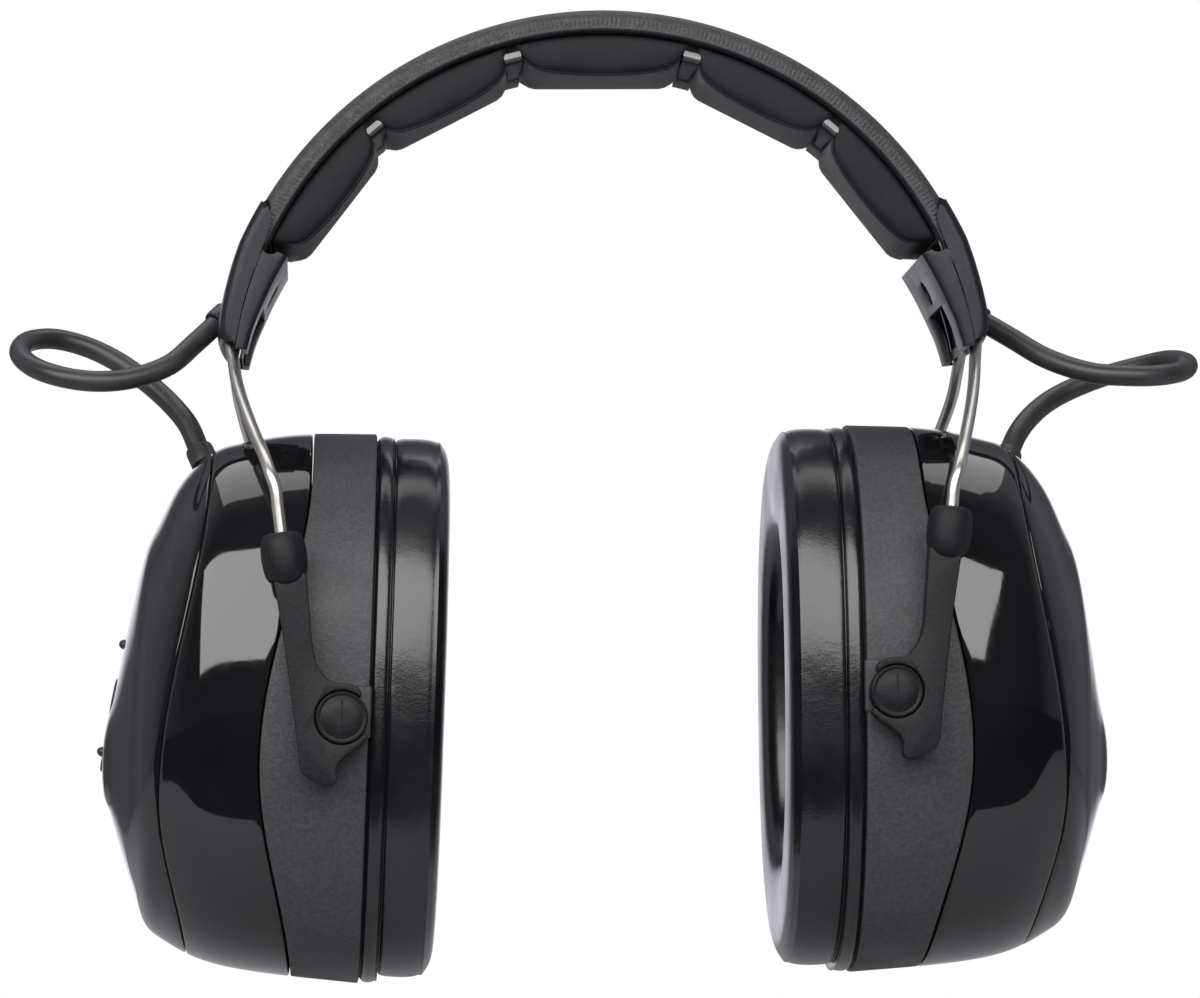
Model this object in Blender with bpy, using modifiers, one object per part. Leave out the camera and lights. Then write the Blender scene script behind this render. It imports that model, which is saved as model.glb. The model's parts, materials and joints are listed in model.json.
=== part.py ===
"""Radio headphones: a padded headband on two spring wires, with an ear cup hung between two arms at each end.

Metres, +Z up, +X to the right cup, -Y to the front. The origin is the middle of the crown pad's underside.
Each ear cup is described in cup coordinates: u outward from the face that meets the head, y to the back,
and z up from the middle of the cup's height.
"""

import math

import bmesh
import bpy
import numpy as np
from mathutils import Matrix, Vector

# Headband: everything in it follows arcs about one centre.
CENTRE_Z = -0.0648
COVER_R = 0.0786
COVER_WALL = 0.0020
COVER_HALF = 0.018
SKIRT_R = 0.0739
SKIRT_WALL = 0.0018
COVER_END = 25.0
STIFFENER_R = (0.0739, 0.0761)
STIFFENER_HALF = 0.0112
LEAD_R = (0.0752, 0.0761)
LEAD_HALF = 0.0013
LINER_R = (0.0732, 0.0736)
PAD_TOP_R = 0.0729
PAD_HALF = 0.0165
PAD_DEPTH_R = 0.0648
PAD_SIDE_R = 0.0706
PAD_EDGES = (25.4, 50.2, 75.4, 104.6, 129.8, 154.6)
PAD_GAP = 0.5

# End caps and the brackets that close them from inside.
CAP_R = (0.0741, 0.0796)
CAP_ANGLES = (9.2, 30.3)
CAP_HALF = 0.0195
CAP_WALL = 0.0013
BRACKET_R = (0.0700, 0.0738)
BRACKET_ANGLES = (8.2, 24.3)
BRACKET_PLATE = 0.0014
BRACKET_HOLE_ANGLE = 19.2
BRACKET_HOLE = 0.0026
ARCH_TOP = 16.0
ARCH_HALF = 0.0105

# Spring wires, and the arms that slide on their straight lower ends.
WIRE_RADIUS = 0.0012
WIRE_R = 0.0750
WIRE_HALF_GAP = 0.013
WIRE_BORE = 0.00145
WIRE_TILT = math.radians(6.8)
WIRE_OFFSET = 0.0071
ARM_Y = 0.0464
ARM_HALF = 0.0023
FERRULE_TOP = 0.0354
FERRULE_LENGTH = 0.009
FERRULE_RADIUS = 0.0043
INSERTED = 0.024
BORE_END = 0.0055
SLIDE_REST = {"left": 0.0021, "right": -0.0021}
ARM_OUTLINE = (
    (-0.0130, 0.0275),
    (-0.0066, 0.0275),
    (-0.0055, 0.0140),
    (-0.0045, 0.0098),
    (-0.0026, 0.0070),
    (-0.0026, -0.0060),
    (-0.0004, -0.0085),
    (-0.0011, -0.0102),
    (-0.0010, -0.0118),
    (-0.0016, -0.0127),
    (-0.0030, -0.0129),
    (-0.0052, -0.0119),
    (-0.0077, -0.0103),
    (-0.0084, -0.0060),
    (-0.0089, -0.0014),
    (-0.0103, 0.0097),
    (-0.0113, 0.0170),
)

# Ear cups.
PIVOT_X = 0.0530
PIVOT_Z = -0.1263
PIVOT_U = 0.0198
PIVOT_IN_CUP = {-1: -0.0040, 1: -0.0008}  # by the sign of the side
CUP_TILT = {"left": math.radians(2.4), "right": math.radians(-0.1)}
OVAL_POWER = 2 / 2.35
WALL = 0.002
GAP = 0.0003
BASE_START = 0.0146
CUP_STATIONS = (
    (0.0140, 0.0546, 0.0544, 0.0428),
    (0.0300, 0.0540, 0.0532, 0.0424),
    (0.0400, 0.0522, 0.0520, 0.0410),
    (0.0470, 0.0498, 0.0502, 0.0388),
    (0.0530, 0.0436, 0.0472, 0.0346),
    (0.0570, 0.0354, 0.0440, 0.0308),
    (0.0595, 0.0293, 0.0375, 0.0268),
    (0.0620, 0.0170, 0.0305, 0.0190),
    (0.0645, 0.0025, 0.0230, 0.0108),
    (0.0660, -0.0043, 0.0193, 0.0066),
    (0.0666, -0.0081, 0.0155, 0.0036),
)
CUSHION_SIZE = (0.0544, 0.0424)
CUSHION_HOLE = (0.0330, 0.0225)
STUD_RADIUS = 0.0049
RING_HOLE = 0.0052
RING_RADIUS = 0.0068
STUD_PAD_U = (0.0150, 0.0262)
STUD_PAD_HALF = 0.0064
STUD_PAD_Y = (0.0412, 0.0433)
STUD_TOP_Y = 0.0494
FRAME_U = (0.0121, 0.0143)
FRAME_OUTER = (0.0536, 0.0416)
FRAME_INNER = (0.0400, 0.0290)

# Cables from the end caps to the cups.
CABLE_RADIUS = 0.0021
GLAND_RADIUS = 0.0029
GLAND_HOLE = 0.0033
CABLE_ROUTE = {
    "left": (
        (-0.0774, 0.0000, -0.0478),
        (-0.0812, -0.0034, -0.0517),
        (-0.0862, -0.0080, -0.0565),
        (-0.0933, -0.0112, -0.0594),
        (-0.1003, -0.0128, -0.0602),
        (-0.1071, -0.0118, -0.0592),
        (-0.1130, -0.0075, -0.0567),
        (-0.1161, 0.0000, -0.0531),
        (-0.1148, 0.0085, -0.0498),
        (-0.1097, 0.0140, -0.0487),
        (-0.1032, 0.0160, -0.0502),
        (-0.0971, 0.0152, -0.0533),
        (-0.0916, 0.0130, -0.0574),
        (-0.0868, 0.0095, -0.0620),
        (-0.0829, 0.0055, -0.0670),
        (-0.0806, 0.0024, -0.0724),
    ),
    "right": (
        (0.0774, 0.0000, -0.0479),
        (0.0824, -0.0028, -0.0514),
        (0.0887, -0.0070, -0.0559),
        (0.0965, -0.0112, -0.0592),
        (0.1039, -0.0128, -0.0601),
        (0.1107, -0.0114, -0.0599),
        (0.1162, -0.0066, -0.0585),
        (0.1183, 0.0012, -0.0562),
        (0.1161, 0.0088, -0.0547),
        (0.1106, 0.0140, -0.0554),
        (0.1038, 0.0158, -0.0571),
        (0.0971, 0.0146, -0.0597),
        (0.0914, 0.0118, -0.0628),
        (0.0871, 0.0082, -0.0664),
        (0.0841, 0.0047, -0.0701),
        (0.0820, 0.0018, -0.0741),
    ),
}

# Inside each cup.
BOARD_U = 0.0360
CELL_RADIUS = 0.00725
CELL_HALF = 0.0252
BUTTON_Z = {"button_volume_up": 0.0112, "button_power": 0.0005, "button_volume_down": -0.0102}
BUTTON_RADIUS = 0.0040
BUTTON_HOLE = 0.0044
BUTTON_SLOPE = math.radians(9)
BUTTON_FACE_U = {"button_volume_up": 0.0630, "button_power": 0.0648, "button_volume_down": 0.06654}

SIDES = {"left": -1, "right": 1}


def clear_scene():
    for obj in list(bpy.data.objects):
        bpy.data.objects.remove(obj)


def new_collection(name):
    found = bpy.data.collections.new(name)
    bpy.context.scene.collection.children.link(found)
    return found


def new_material(name, colour, roughness, metallic=0.0):
    material = bpy.data.materials.new(name)
    material.use_nodes = True
    shader = material.node_tree.nodes["Principled BSDF"]
    shader.inputs["Base Color"].default_value = (*colour, 1.0)
    shader.inputs["Roughness"].default_value = roughness
    shader.inputs["Metallic"].default_value = metallic
    return material


clear_scene()
PARTS = new_collection("radio_headphones")
CUTTERS = new_collection("cutters")
LEATHERETTE = new_material("leatherette", (0.03, 0.03, 0.033), 0.45)
PAD_CLOTH = new_material("pad_cloth", (0.025, 0.025, 0.03), 0.6)
MATT_PLASTIC = new_material("matt_plastic", (0.035, 0.035, 0.037), 0.6)
GLOSS_PLASTIC = new_material("gloss_plastic", (0.01, 0.01, 0.011), 0.08)
VINYL = new_material("vinyl", (0.012, 0.012, 0.014), 0.25)
STEEL = new_material("steel", (0.72, 0.70, 0.66), 0.25, 1.0)
RUBBER = new_material("rubber", (0.03, 0.03, 0.032), 0.55)
FOAM = new_material("foam", (0.05, 0.05, 0.055), 0.95)
BOARD = new_material("board", (0.02, 0.12, 0.05), 0.5)
CELL = new_material("cell", (0.25, 0.25, 0.27), 0.35, 0.6)


def finish(name, bm, material, parent=None, cutter=False):
    """The bmesh as an object, in the coordinates of its parent empty."""
    bmesh.ops.recalc_face_normals(bm, faces=bm.faces)
    if bm.calc_volume(signed=True) < 0:
        bmesh.ops.reverse_faces(bm, faces=bm.faces)
    mesh = bpy.data.meshes.new(name)
    bm.to_mesh(mesh)
    bm.free()
    mesh.materials.append(material)
    mesh.shade_smooth()
    mesh.set_sharp_from_angle(angle=math.radians(35))
    obj = bpy.data.objects.new(name, mesh)
    (CUTTERS if cutter else PARTS).objects.link(obj)
    obj.parent = parent
    if cutter:
        obj.hide_render = True
        obj.display_type = "WIRE"
    return obj


def boolean(obj, other, operation="DIFFERENCE"):
    other.hide_render = True
    other.display_type = "WIRE"
    modifier = obj.modifiers.new(operation.lower(), "BOOLEAN")
    modifier.operation = operation
    modifier.object = other


def bevel(obj, width, segments=2):
    modifier = obj.modifiers.new("rounded", "BEVEL")
    modifier.width = width
    modifier.segments = segments
    modifier.limit_method = "ANGLE"
    modifier.angle_limit = math.radians(40)


def extruded(name, outline, y_low, y_high, material, parent=None, cutter=False):
    """A flat outline of (x, z) points, pulled along Y from y_low to y_high."""
    bm = bmesh.new()
    face = bm.faces.new([bm.verts.new((x, y_low, z)) for x, z in outline])
    pulled = bmesh.ops.extrude_face_region(bm, geom=[face])["geom"]
    moved = [v for v in pulled if isinstance(v, bmesh.types.BMVert)]
    bmesh.ops.translate(bm, verts=moved, vec=(0, y_high - y_low, 0))
    return finish(name, bm, material, parent, cutter)


def on_arc(radius, degrees):
    angle = math.radians(degrees)
    return radius * math.cos(angle), CENTRE_Z + radius * math.sin(angle)


def arc_outline(radii, angles, step=5.0):
    count = max(2, round(abs(angles[1] - angles[0]) / step) + 1)
    turns = np.linspace(angles[0], angles[1], count)
    outer = [on_arc(radii[1], a) for a in turns]
    inner = [on_arc(radii[0], a) for a in turns[::-1]]
    return outer + inner


def arc_block(name, radii, angles, half, material, parent=None, cutter=False, step=5.0):
    return extruded(name, arc_outline(radii, angles, step), -half, half, material, parent, cutter)


def rod(name, start, end, radius, material, parent=None, cutter=False, sides=20, radius_end=None):
    """A cylinder or cone frustum between two points."""
    start, end = Vector(start), Vector(end)
    along = end - start
    bm = bmesh.new()
    bmesh.ops.create_cone(
        bm,
        cap_ends=True,
        segments=sides,
        radius1=radius,
        radius2=radius if radius_end is None else radius_end,
        depth=along.length,
    )
    turn = along.to_track_quat("Z", "Y").to_matrix().to_4x4()
    bm.transform(Matrix.Translation((start + end) / 2) @ turn)
    return finish(name, bm, material, parent, cutter)


def box(name, low, high, material, parent=None, cutter=False):
    low, high = Vector(low), Vector(high)
    bm = bmesh.new()
    bmesh.ops.create_cube(bm, size=1)
    size = Matrix.Diagonal((*[abs(v) for v in high - low], 1))
    bm.transform(Matrix.Translation((low + high) / 2) @ size)
    return finish(name, bm, material, parent, cutter)


def smooth_route(points, samples):
    """A Catmull-Rom curve through the points, with this many samples in each stretch."""
    points = [Vector(p) for p in points]
    ends = [2 * points[0] - points[1], *points, 2 * points[-1] - points[-2]]
    route = []
    for i in range(len(points) - 1):
        a, b, c, d = ends[i : i + 4]
        for k in range(samples):
            t = k / samples
            square, cube = 2 * a - 5 * b + 4 * c - d, 3 * b - a - 3 * c + d
            route.append(0.5 * (2 * b + (c - a) * t + square * t**2 + cube * t**3))
    return [*route, points[-1]]


def tube(name, points, radius, material, parent=None):
    curve = bpy.data.curves.new(name, "CURVE")
    curve.dimensions = "3D"
    curve.bevel_depth = radius
    curve.bevel_resolution = 2
    curve.use_fill_caps = True
    spline = curve.splines.new("POLY")
    spline.points.add(len(points) - 1)
    for point, place in zip(spline.points, points):
        point.co = (*place, 1)
    curve.materials.append(material)
    obj = bpy.data.objects.new(name, curve)
    PARTS.objects.link(obj)
    obj.parent = parent
    return obj


def empty(name, place=(0, 0, 0), turn=0.0):
    obj = bpy.data.objects.new(name, None)
    PARTS.objects.link(obj)
    obj.location = place
    obj.rotation_euler = (0, turn, 0)
    return obj


# Headband


def headband(frame):
    cover_angles = (COVER_END, 180 - COVER_END)
    cover = arc_block("headband_cover", (SKIRT_R, COVER_R), cover_angles, COVER_HALF, LEATHERETTE, frame)
    hollow = arc_block(
        "cover_hollow",
        (SKIRT_R - 0.003, COVER_R - COVER_WALL),
        (COVER_END - 5, 185 - COVER_END),
        COVER_HALF - SKIRT_WALL,
        LEATHERETTE,
        frame,
        cutter=True,
    )
    boolean(cover, hollow)
    inner_angles = (COVER_END + 0.5, 179.5 - COVER_END)
    stiffener = arc_block("band_stiffener", STIFFENER_R, inner_angles, STIFFENER_HALF, MATT_PLASTIC, frame)
    groove_r = (LEAD_R[0] - GAP, STIFFENER_R[1] + 0.001)
    groove_angles = (COVER_END - 3, 183 - COVER_END)
    groove = arc_block("lead_groove", groove_r, groove_angles, LEAD_HALF + GAP, BOARD, frame, True)
    boolean(stiffener, groove)
    arc_block("crossover_lead", LEAD_R, (COVER_END + 2, 178 - COVER_END), LEAD_HALF, RUBBER, frame)
    arc_block("headband_liner", LINER_R, inner_angles, COVER_HALF - 0.001, PAD_CLOTH, frame)


def head_pads(frame):
    for number in range(5):
        low, high = PAD_EDGES[number] + PAD_GAP, PAD_EDGES[number + 1] - PAD_GAP
        middle, half = (low + high) / 2, (high - low) / 2
        outline = [on_arc(PAD_TOP_R, a) for a in np.linspace(low, high, 6)]
        flat = half - 3.2
        for offset, radius in (
            (half, PAD_SIDE_R),
            (half - 1.2, (PAD_SIDE_R + PAD_DEPTH_R) / 2 - 0.0004),
            (flat, PAD_DEPTH_R / math.cos(math.radians(flat))),
            (-flat, PAD_DEPTH_R / math.cos(math.radians(flat))),
            (1.2 - half, (PAD_SIDE_R + PAD_DEPTH_R) / 2 - 0.0004),
            (-half, PAD_SIDE_R),
        ):
            outline.append(on_arc(radius, middle + offset))
        pad = extruded(f"head_pad_{number + 1}", outline, -PAD_HALF, PAD_HALF, PAD_CLOTH, frame)
        bevel(pad, 0.0012, 1)


def spring_wires(frame):
    end_x = PIVOT_X + WIRE_OFFSET
    top = FERRULE_TOP + 0.0064
    bottom = FERRULE_TOP - INSERTED
    half = [Vector((*on_arc(WIRE_R, a), 0)).xzy for a in np.linspace(90, 9.5, 15)]
    half = [Vector((p.x, WIRE_HALF_GAP, p.z)) for p in half]
    spread = [
        (0.0733, 0.0155, -0.0572),
        (0.0728, 0.0181, -0.0606),
        (0.0718, 0.0230, -0.0647),
        (0.0703, 0.0296, -0.0695),
        (0.0687, 0.0361, -0.0740),
        (0.0673, 0.0420, -0.0777),
        (0.0662, 0.0455, -0.0812),
        (end_x + top * math.tan(WIRE_TILT), ARM_Y, PIVOT_Z + top),
        (end_x + 0.040 * math.tan(WIRE_TILT), ARM_Y, PIVOT_Z + 0.040),
        (end_x + bottom * math.tan(WIRE_TILT), ARM_Y, PIVOT_Z + bottom),
    ]
    half = half[:-1] + smooth_route([half[-1], *spread[:-1]], 2) + [Vector(spread[-1])]
    for name, way in (("spring_wire_front", -1), ("spring_wire_rear", 1)):
        right = [Vector((p.x, way * p.y, p.z)) for p in half]
        left = [Vector((-p.x, p.y, p.z)) for p in right[:0:-1]]
        tube(name, left + right, WIRE_RADIUS, STEEL, frame)


def end_cap(side, sign, frame):
    def mirrored(angles):
        return angles if sign > 0 else (180 - angles[1], 180 - angles[0])

    cap = arc_block(f"end_cap_{side}", CAP_R, mirrored(CAP_ANGLES), CAP_HALF, MATT_PLASTIC, frame)
    low_r = CAP_R[0] - 0.002
    inner = CAP_HALF - CAP_WALL
    lower = (CAP_ANGLES[0] - 4, 24.8)
    room_r = (low_r, CAP_R[1] - CAP_WALL)
    boolean(cap, arc_block(f"cap_room_{side}", room_r, mirrored(lower), inner, STEEL, frame, True))
    lap = (24.6, CAP_ANGLES[1] + 4)
    lap_r = (low_r, COVER_R + GAP)
    boolean(cap, arc_block(f"cap_lap_{side}", lap_r, mirrored(lap), CAP_HALF - 0.0011, STEEL, frame, True))

    bracket_name = f"wire_bracket_{side}"
    plate = mirrored(BRACKET_ANGLES)
    bracket = arc_block(bracket_name, BRACKET_R, plate, CAP_HALF, MATT_PLASTIC, frame, step=3)
    room_r = (BRACKET_R[0] + BRACKET_PLATE, BRACKET_R[1] + 0.002)
    long_way = (BRACKET_ANGLES[0] - 3, BRACKET_ANGLES[1] + 3)
    room = arc_block(f"bracket_room_{side}", room_r, mirrored(long_way), inner, STEEL, frame, True)
    boolean(bracket, room)
    hole_angle = BRACKET_HOLE_ANGLE if sign > 0 else 180 - BRACKET_HOLE_ANGLE
    hole_start, hole_end = (Vector((*on_arc(r, hole_angle), 0)).xzy for r in (0.066, 0.0725))
    boolean(bracket, rod(f"bracket_hole_{side}", hole_start, hole_end, BRACKET_HOLE, STEEL, frame, True, 16))
    below = mirrored((BRACKET_ANGLES[0] - 3, ARCH_TOP))
    arch = arc_block(f"bracket_arch_{side}", (0.067, 0.0725), below, ARCH_HALF, STEEL, frame, True)
    bevel(arch, 0.004, 3)
    boolean(bracket, arch)


def gland(name, mouth, inward, owners, parent):
    """A short grommet whose outer end is at mouth. Its hole is cut in the owners."""
    mouth, inward = Vector(mouth), Vector(inward).normalized()
    rod(name, mouth, mouth + inward * 0.0042, GLAND_RADIUS, RUBBER, parent, sides=16)
    start, end = mouth - inward * 0.007, mouth + inward * 0.0072
    hole = rod(f"{name}_hole", start, end, GLAND_HOLE, RUBBER, parent, True, 16)
    for owner in owners:
        boolean(owner, hole)


# Arms


def sliding_arm(name, sign, way, frame):
    """The moulded arm: a ferrule on the wire, a bar and a ring on the stud. Coordinates are from the pivot."""

    def flip(points):
        return [(-sign * x, z) for x, z in points]

    lean = math.tan(WIRE_TILT)
    low_y, high_y = sorted((way * (ARM_Y - ARM_HALF), way * (ARM_Y + ARM_HALF)))
    bar = flip(ARM_OUTLINE)
    arm = extruded(name, bar, low_y, high_y, MATT_PLASTIC, frame)
    ring = rod(f"{name}_ring", (0, low_y, 0), (0, high_y, 0), RING_RADIUS, MATT_PLASTIC, frame, True, 28)
    boolean(arm, ring, "UNION")

    def on_wire(height):
        return Vector((sign * (WIRE_OFFSET + height * lean), way * ARM_Y, height))

    ferrule_end = FERRULE_TOP - FERRULE_LENGTH
    ferrule = rod(
        f"{name}_ferrule",
        on_wire(ferrule_end),
        on_wire(FERRULE_TOP),
        FERRULE_RADIUS,
        MATT_PLASTIC,
        frame,
        True,
        20,
        FERRULE_RADIUS * 0.9,
    )
    boolean(arm, ferrule, "UNION")
    eye_ends = (0, low_y - 0.01, 0), (0, high_y + 0.01, 0)
    eye = rod(f"{name}_eye", *eye_ends, RING_HOLE, STEEL, frame, True, 28)
    boolean(arm, eye)
    notch_x = sorted((-sign * 0.0035, -sign * 0.009))
    low, high = (notch_x[0], low_y - 0.01, -0.0038), (notch_x[1], high_y + 0.01, 0.0038)
    boolean(arm, box(f"{name}_notch", low, high, STEEL, frame, True))
    bore_top = on_wire(FERRULE_TOP + 0.002)
    bore = rod(f"{name}_bore", on_wire(BORE_END), bore_top, WIRE_BORE, STEEL, frame, True, 16)
    boolean(arm, bore)


# Ear cups


def parting(z, peak_u, peak_z, rise, fall):
    """The u at which two shells part, at height z: furthest out at peak_z, nearer the head elsewhere."""
    drop, span = rise if z > peak_z else fall
    share = min(1.0, abs(z - peak_z) / span)
    return peak_u - drop * math.sin(math.pi / 2 * share) ** 2


def base_edge(z):
    return parting(z, 0.0354, -0.012, (0.0082, 0.057), (0.0076, 0.048))


def case_edge(z):
    return parting(z, 0.0546, -0.019, (0.0076, 0.063), (0.0062, 0.036))


def signed_power(value, power):
    return math.copysign(abs(value) ** power, value)


def cup_surface(u, turn, inset=0.0):
    """(y, z) on the cup's outside at u, this far round."""
    stations = np.array(CUP_STATIONS)
    top, bottom, half = (np.interp(u, stations[:, 0], stations[:, k]) for k in (1, 2, 3))
    middle, height = (top - bottom) / 2, (top + bottom) / 2
    y = (half - inset) * signed_power(math.cos(turn), OVAL_POWER)
    z = middle + (height - inset) * signed_power(math.sin(turn), OVAL_POWER)
    return y, z


def edge_u(edge, turn):
    """Where the ray this far round meets a parting line."""
    u = 0.04
    for _ in range(12):
        u = (u + edge(cup_surface(u, turn)[1])) / 2
    return u


def cup_place(sign, u, y, z):
    return Vector((sign * (u - PIVOT_U), y, z - PIVOT_IN_CUP[sign]))


def surface_point(sign, u, turn):
    return cup_place(sign, u, *cup_surface(u, turn))


def surface_normal(sign, u, turn):
    """Out of the cup, from the surface a little way either side."""
    along = surface_point(sign, u + 0.0012, turn) - surface_point(sign, u - 0.0012, turn)
    across = surface_point(sign, u, turn + 0.03) - surface_point(sign, u, turn - 0.03)
    normal = across.cross(along).normalized()
    return normal * sign


def cup_skin(name, sign, start, end, steps, material, parent, closed_end=False, turns=28):
    """A shell with the cup's outer surface. Its start and end are each a u, or a parting line and a shift."""
    outer, inner = [], []
    for k in range(steps + 1):
        outer_ring, inner_ring = [], []
        for i in range(turns):
            turn = 2 * math.pi * i / turns
            low = edge_u(start[0], turn) + start[1] if isinstance(start, tuple) else start
            high = edge_u(end[0], turn) + end[1] if isinstance(end, tuple) else end
            u = low + (high - low) * k / steps
            place = surface_point(sign, u, turn)
            outer_ring.append(place)
            inner_ring.append(place - surface_normal(sign, u, turn) * WALL)
        outer.append(outer_ring)
        inner.append(inner_ring)
    if not closed_end:
        return closed_ring(name, outer + inner[::-1], material, parent)
    return solid_oval(name, outer[::-1] + inner, material, parent)


def oval_ring(sign, u, height, half, turns=28):
    ring = []
    for i in range(turns):
        turn = 2 * math.pi * i / turns
        y = half * signed_power(math.cos(turn), OVAL_POWER)
        z = height * signed_power(math.sin(turn), OVAL_POWER)
        ring.append(cup_place(sign, u, y, z))
    return ring


def closed_ring(name, rings, material, parent):
    """A ring-shaped solid whose section is the loop of these rings."""
    bm = bmesh.new()
    rows = [[bm.verts.new(p) for p in ring] for ring in rings]
    for low, high in zip(rows, rows[1:] + rows[:1]):
        for i in range(len(low)):
            j = (i + 1) % len(low)
            bm.faces.new((low[i], low[j], high[j], high[i]))
    return finish(name, bm, material, parent)


def ring_between(name, sign, u_low, u_high, outer, inner, material, parent):
    rings = [
        oval_ring(sign, u_low, *inner),
        oval_ring(sign, u_low, *outer),
        oval_ring(sign, u_high, *outer),
        oval_ring(sign, u_high, *inner),
    ]
    return closed_ring(name, rings, material, parent)


def ear_cushion(side, sign, frame):
    section = (
        (0.0040, 0.00),
        (0.0012, 0.10),
        (0.0000, 0.30),
        (0.0000, 0.70),
        (0.0012, 0.90),
        (0.0040, 1.00),
        (0.0098, 1.00),
        (0.0118, 0.93),
        (0.0118, 0.06),
    )
    rings = []
    for u, share in section:
        sizes = [inner + (outer - inner) * share for inner, outer in zip(CUSHION_HOLE, CUSHION_SIZE)]
        rings.append(oval_ring(sign, u, *sizes))
    closed_ring(f"ear_cushion_{side}", rings, VINYL, frame)


def cup_shells(side, sign, frame, lid_frame):
    base = cup_skin(f"cup_base_{side}", sign, BASE_START, (base_edge, -GAP / 2), 3, MATT_PLASTIC, frame)
    for way, place in ((-1, "front"), (1, "rear")):
        ys = sorted(way * y for y in STUD_PAD_Y)
        xs = sorted(sign * (u - PIVOT_U) for u in STUD_PAD_U)
        low, high = (xs[0], ys[0], -STUD_PAD_HALF), (xs[1], ys[1], STUD_PAD_HALF)
        boolean(base, box(f"boss_{place}_{side}", low, high, MATT_PLASTIC, frame, True), "UNION")
        rod(
            f"pivot_stud_{place}_{side}",
            (0, way * (STUD_PAD_Y[1] + GAP), 0),
            (0, way * STUD_TOP_Y, 0),
            STUD_RADIUS,
            MATT_PLASTIC,
            frame,
            sides=28,
        )
    edges = (base_edge, GAP / 2), (case_edge, -GAP / 2)
    case = cup_skin(f"cup_case_{side}", sign, *edges, 4, GLOSS_PLASTIC, frame)
    tip = CUP_STATIONS[-1][0]
    start = (case_edge, GAP / 2)
    cover = cup_skin(f"cup_cover_{side}", sign, start, tip, 7, GLOSS_PLASTIC, lid_frame, closed_end=True)
    return case, cover


def cup_inside(side, sign, frame):
    ring_between(f"cushion_frame_{side}", sign, *FRAME_U, FRAME_OUTER, FRAME_INNER, MATT_PLASTIC, frame)
    rings = [oval_ring(sign, 0.0150, 0.0470, 0.0350), oval_ring(sign, 0.0205, 0.0470, 0.0350)]
    solid_oval(f"ear_foam_{side}", rings, FOAM, frame)
    baffle = solid_oval(
        f"baffle_plate_{side}",
        [oval_ring(sign, 0.0210, 0.0500, 0.0380), oval_ring(sign, 0.0226, 0.0500, 0.0380)],
        MATT_PLASTIC,
        frame,
    )
    hole = rod(
        f"speaker_hole_{side}",
        cup_place(sign, 0.019, 0, 0),
        cup_place(sign, 0.025, 0, 0),
        0.014,
        STEEL,
        frame,
        True,
        28,
    )
    boolean(baffle, hole)
    front, back = cup_place(sign, 0.0229, 0, 0), cup_place(sign, 0.0300, 0, 0)
    rod(f"speaker_{side}", front, back, 0.0180, STEEL, frame, sides=28)
    for number, way in ((1, 1), (2, -1)):
        head = cup_place(sign, 0.0229, 0, way * 0.040)
        inner = head + Vector((sign * 0.003, 0, 0))
        rod(f"baffle_screw_{number}_{side}", head, inner, 0.0028, STEEL, frame, sides=12)


def solid_oval(name, rings, material, parent):
    bm = bmesh.new()
    rows = [[bm.verts.new(p) for p in ring] for ring in rings]
    bm.faces.new(rows[0])
    bm.faces.new(rows[-1])
    for low, high in zip(rows, rows[1:]):
        for i in range(len(low)):
            j = (i + 1) % len(low)
            bm.faces.new((low[i], low[j], high[j], high[i]))
    return finish(name, bm, material, parent)


def slab(name, sign, us, half_y, zs, material, parent):
    """A block in cup coordinates."""
    corners = [cup_place(sign, u, y, z) for u, y, z in ((us[0], -half_y, zs[0]), (us[1], half_y, zs[1]))]
    low = [min(a, b) for a, b in zip(*corners)]
    high = [max(a, b) for a, b in zip(*corners)]
    return box(name, low, high, material, parent)


def radio_parts(sign, frame, cover):
    """The radio board and the three buttons, on the left cup."""
    slab("radio_board", sign, (BOARD_U, BOARD_U + 0.0016), 0.026, (-0.036, 0.033), BOARD, frame)
    slab("tuner_module", sign, (BOARD_U + 0.0019, BOARD_U + 0.0055), 0.011, (-0.034, -0.016), STEEL, frame)
    for name, z in BUTTON_Z.items():
        out = Vector((sign * math.cos(BUTTON_SLOPE), 0, math.sin(BUTTON_SLOPE)))
        face = cup_place(sign, BUTTON_FACE_U[name], 0, z)
        key = rod(name, face - out * 0.0048, face + out * 0.0003, BUTTON_RADIUS, RUBBER, frame, sides=20)
        if name != "button_power":
            nib_ends = face - out * 0.0004, face + out * 0.0016
            boolean(key, rod(f"{name}_nib", *nib_ends, 0.0009, RUBBER, frame, True, 12), "UNION")
        hole_ends = face - out * 0.008, face + out * 0.005
        hole = rod(f"{name}_hole", *hole_ends, BUTTON_HOLE, STEEL, frame, True, 20)
        boolean(cover, hole)


def battery_parts(sign, frame):
    """The battery holder and its two cells, in the right cup."""
    slab("battery_holder", sign, (0.0320, 0.0350), 0.0190, (-0.0300, 0.0300), MATT_PLASTIC, frame)
    middle_u = 0.0350 + GAP + CELL_RADIUS
    for number, way in ((1, -1), (2, 1)):
        low = cup_place(sign, middle_u, way * 0.0078, -CELL_HALF)
        high = cup_place(sign, middle_u, way * 0.0078, CELL_HALF)
        rod(f"battery_{number}", low, high, CELL_RADIUS, CELL, frame, sides=20)


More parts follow.
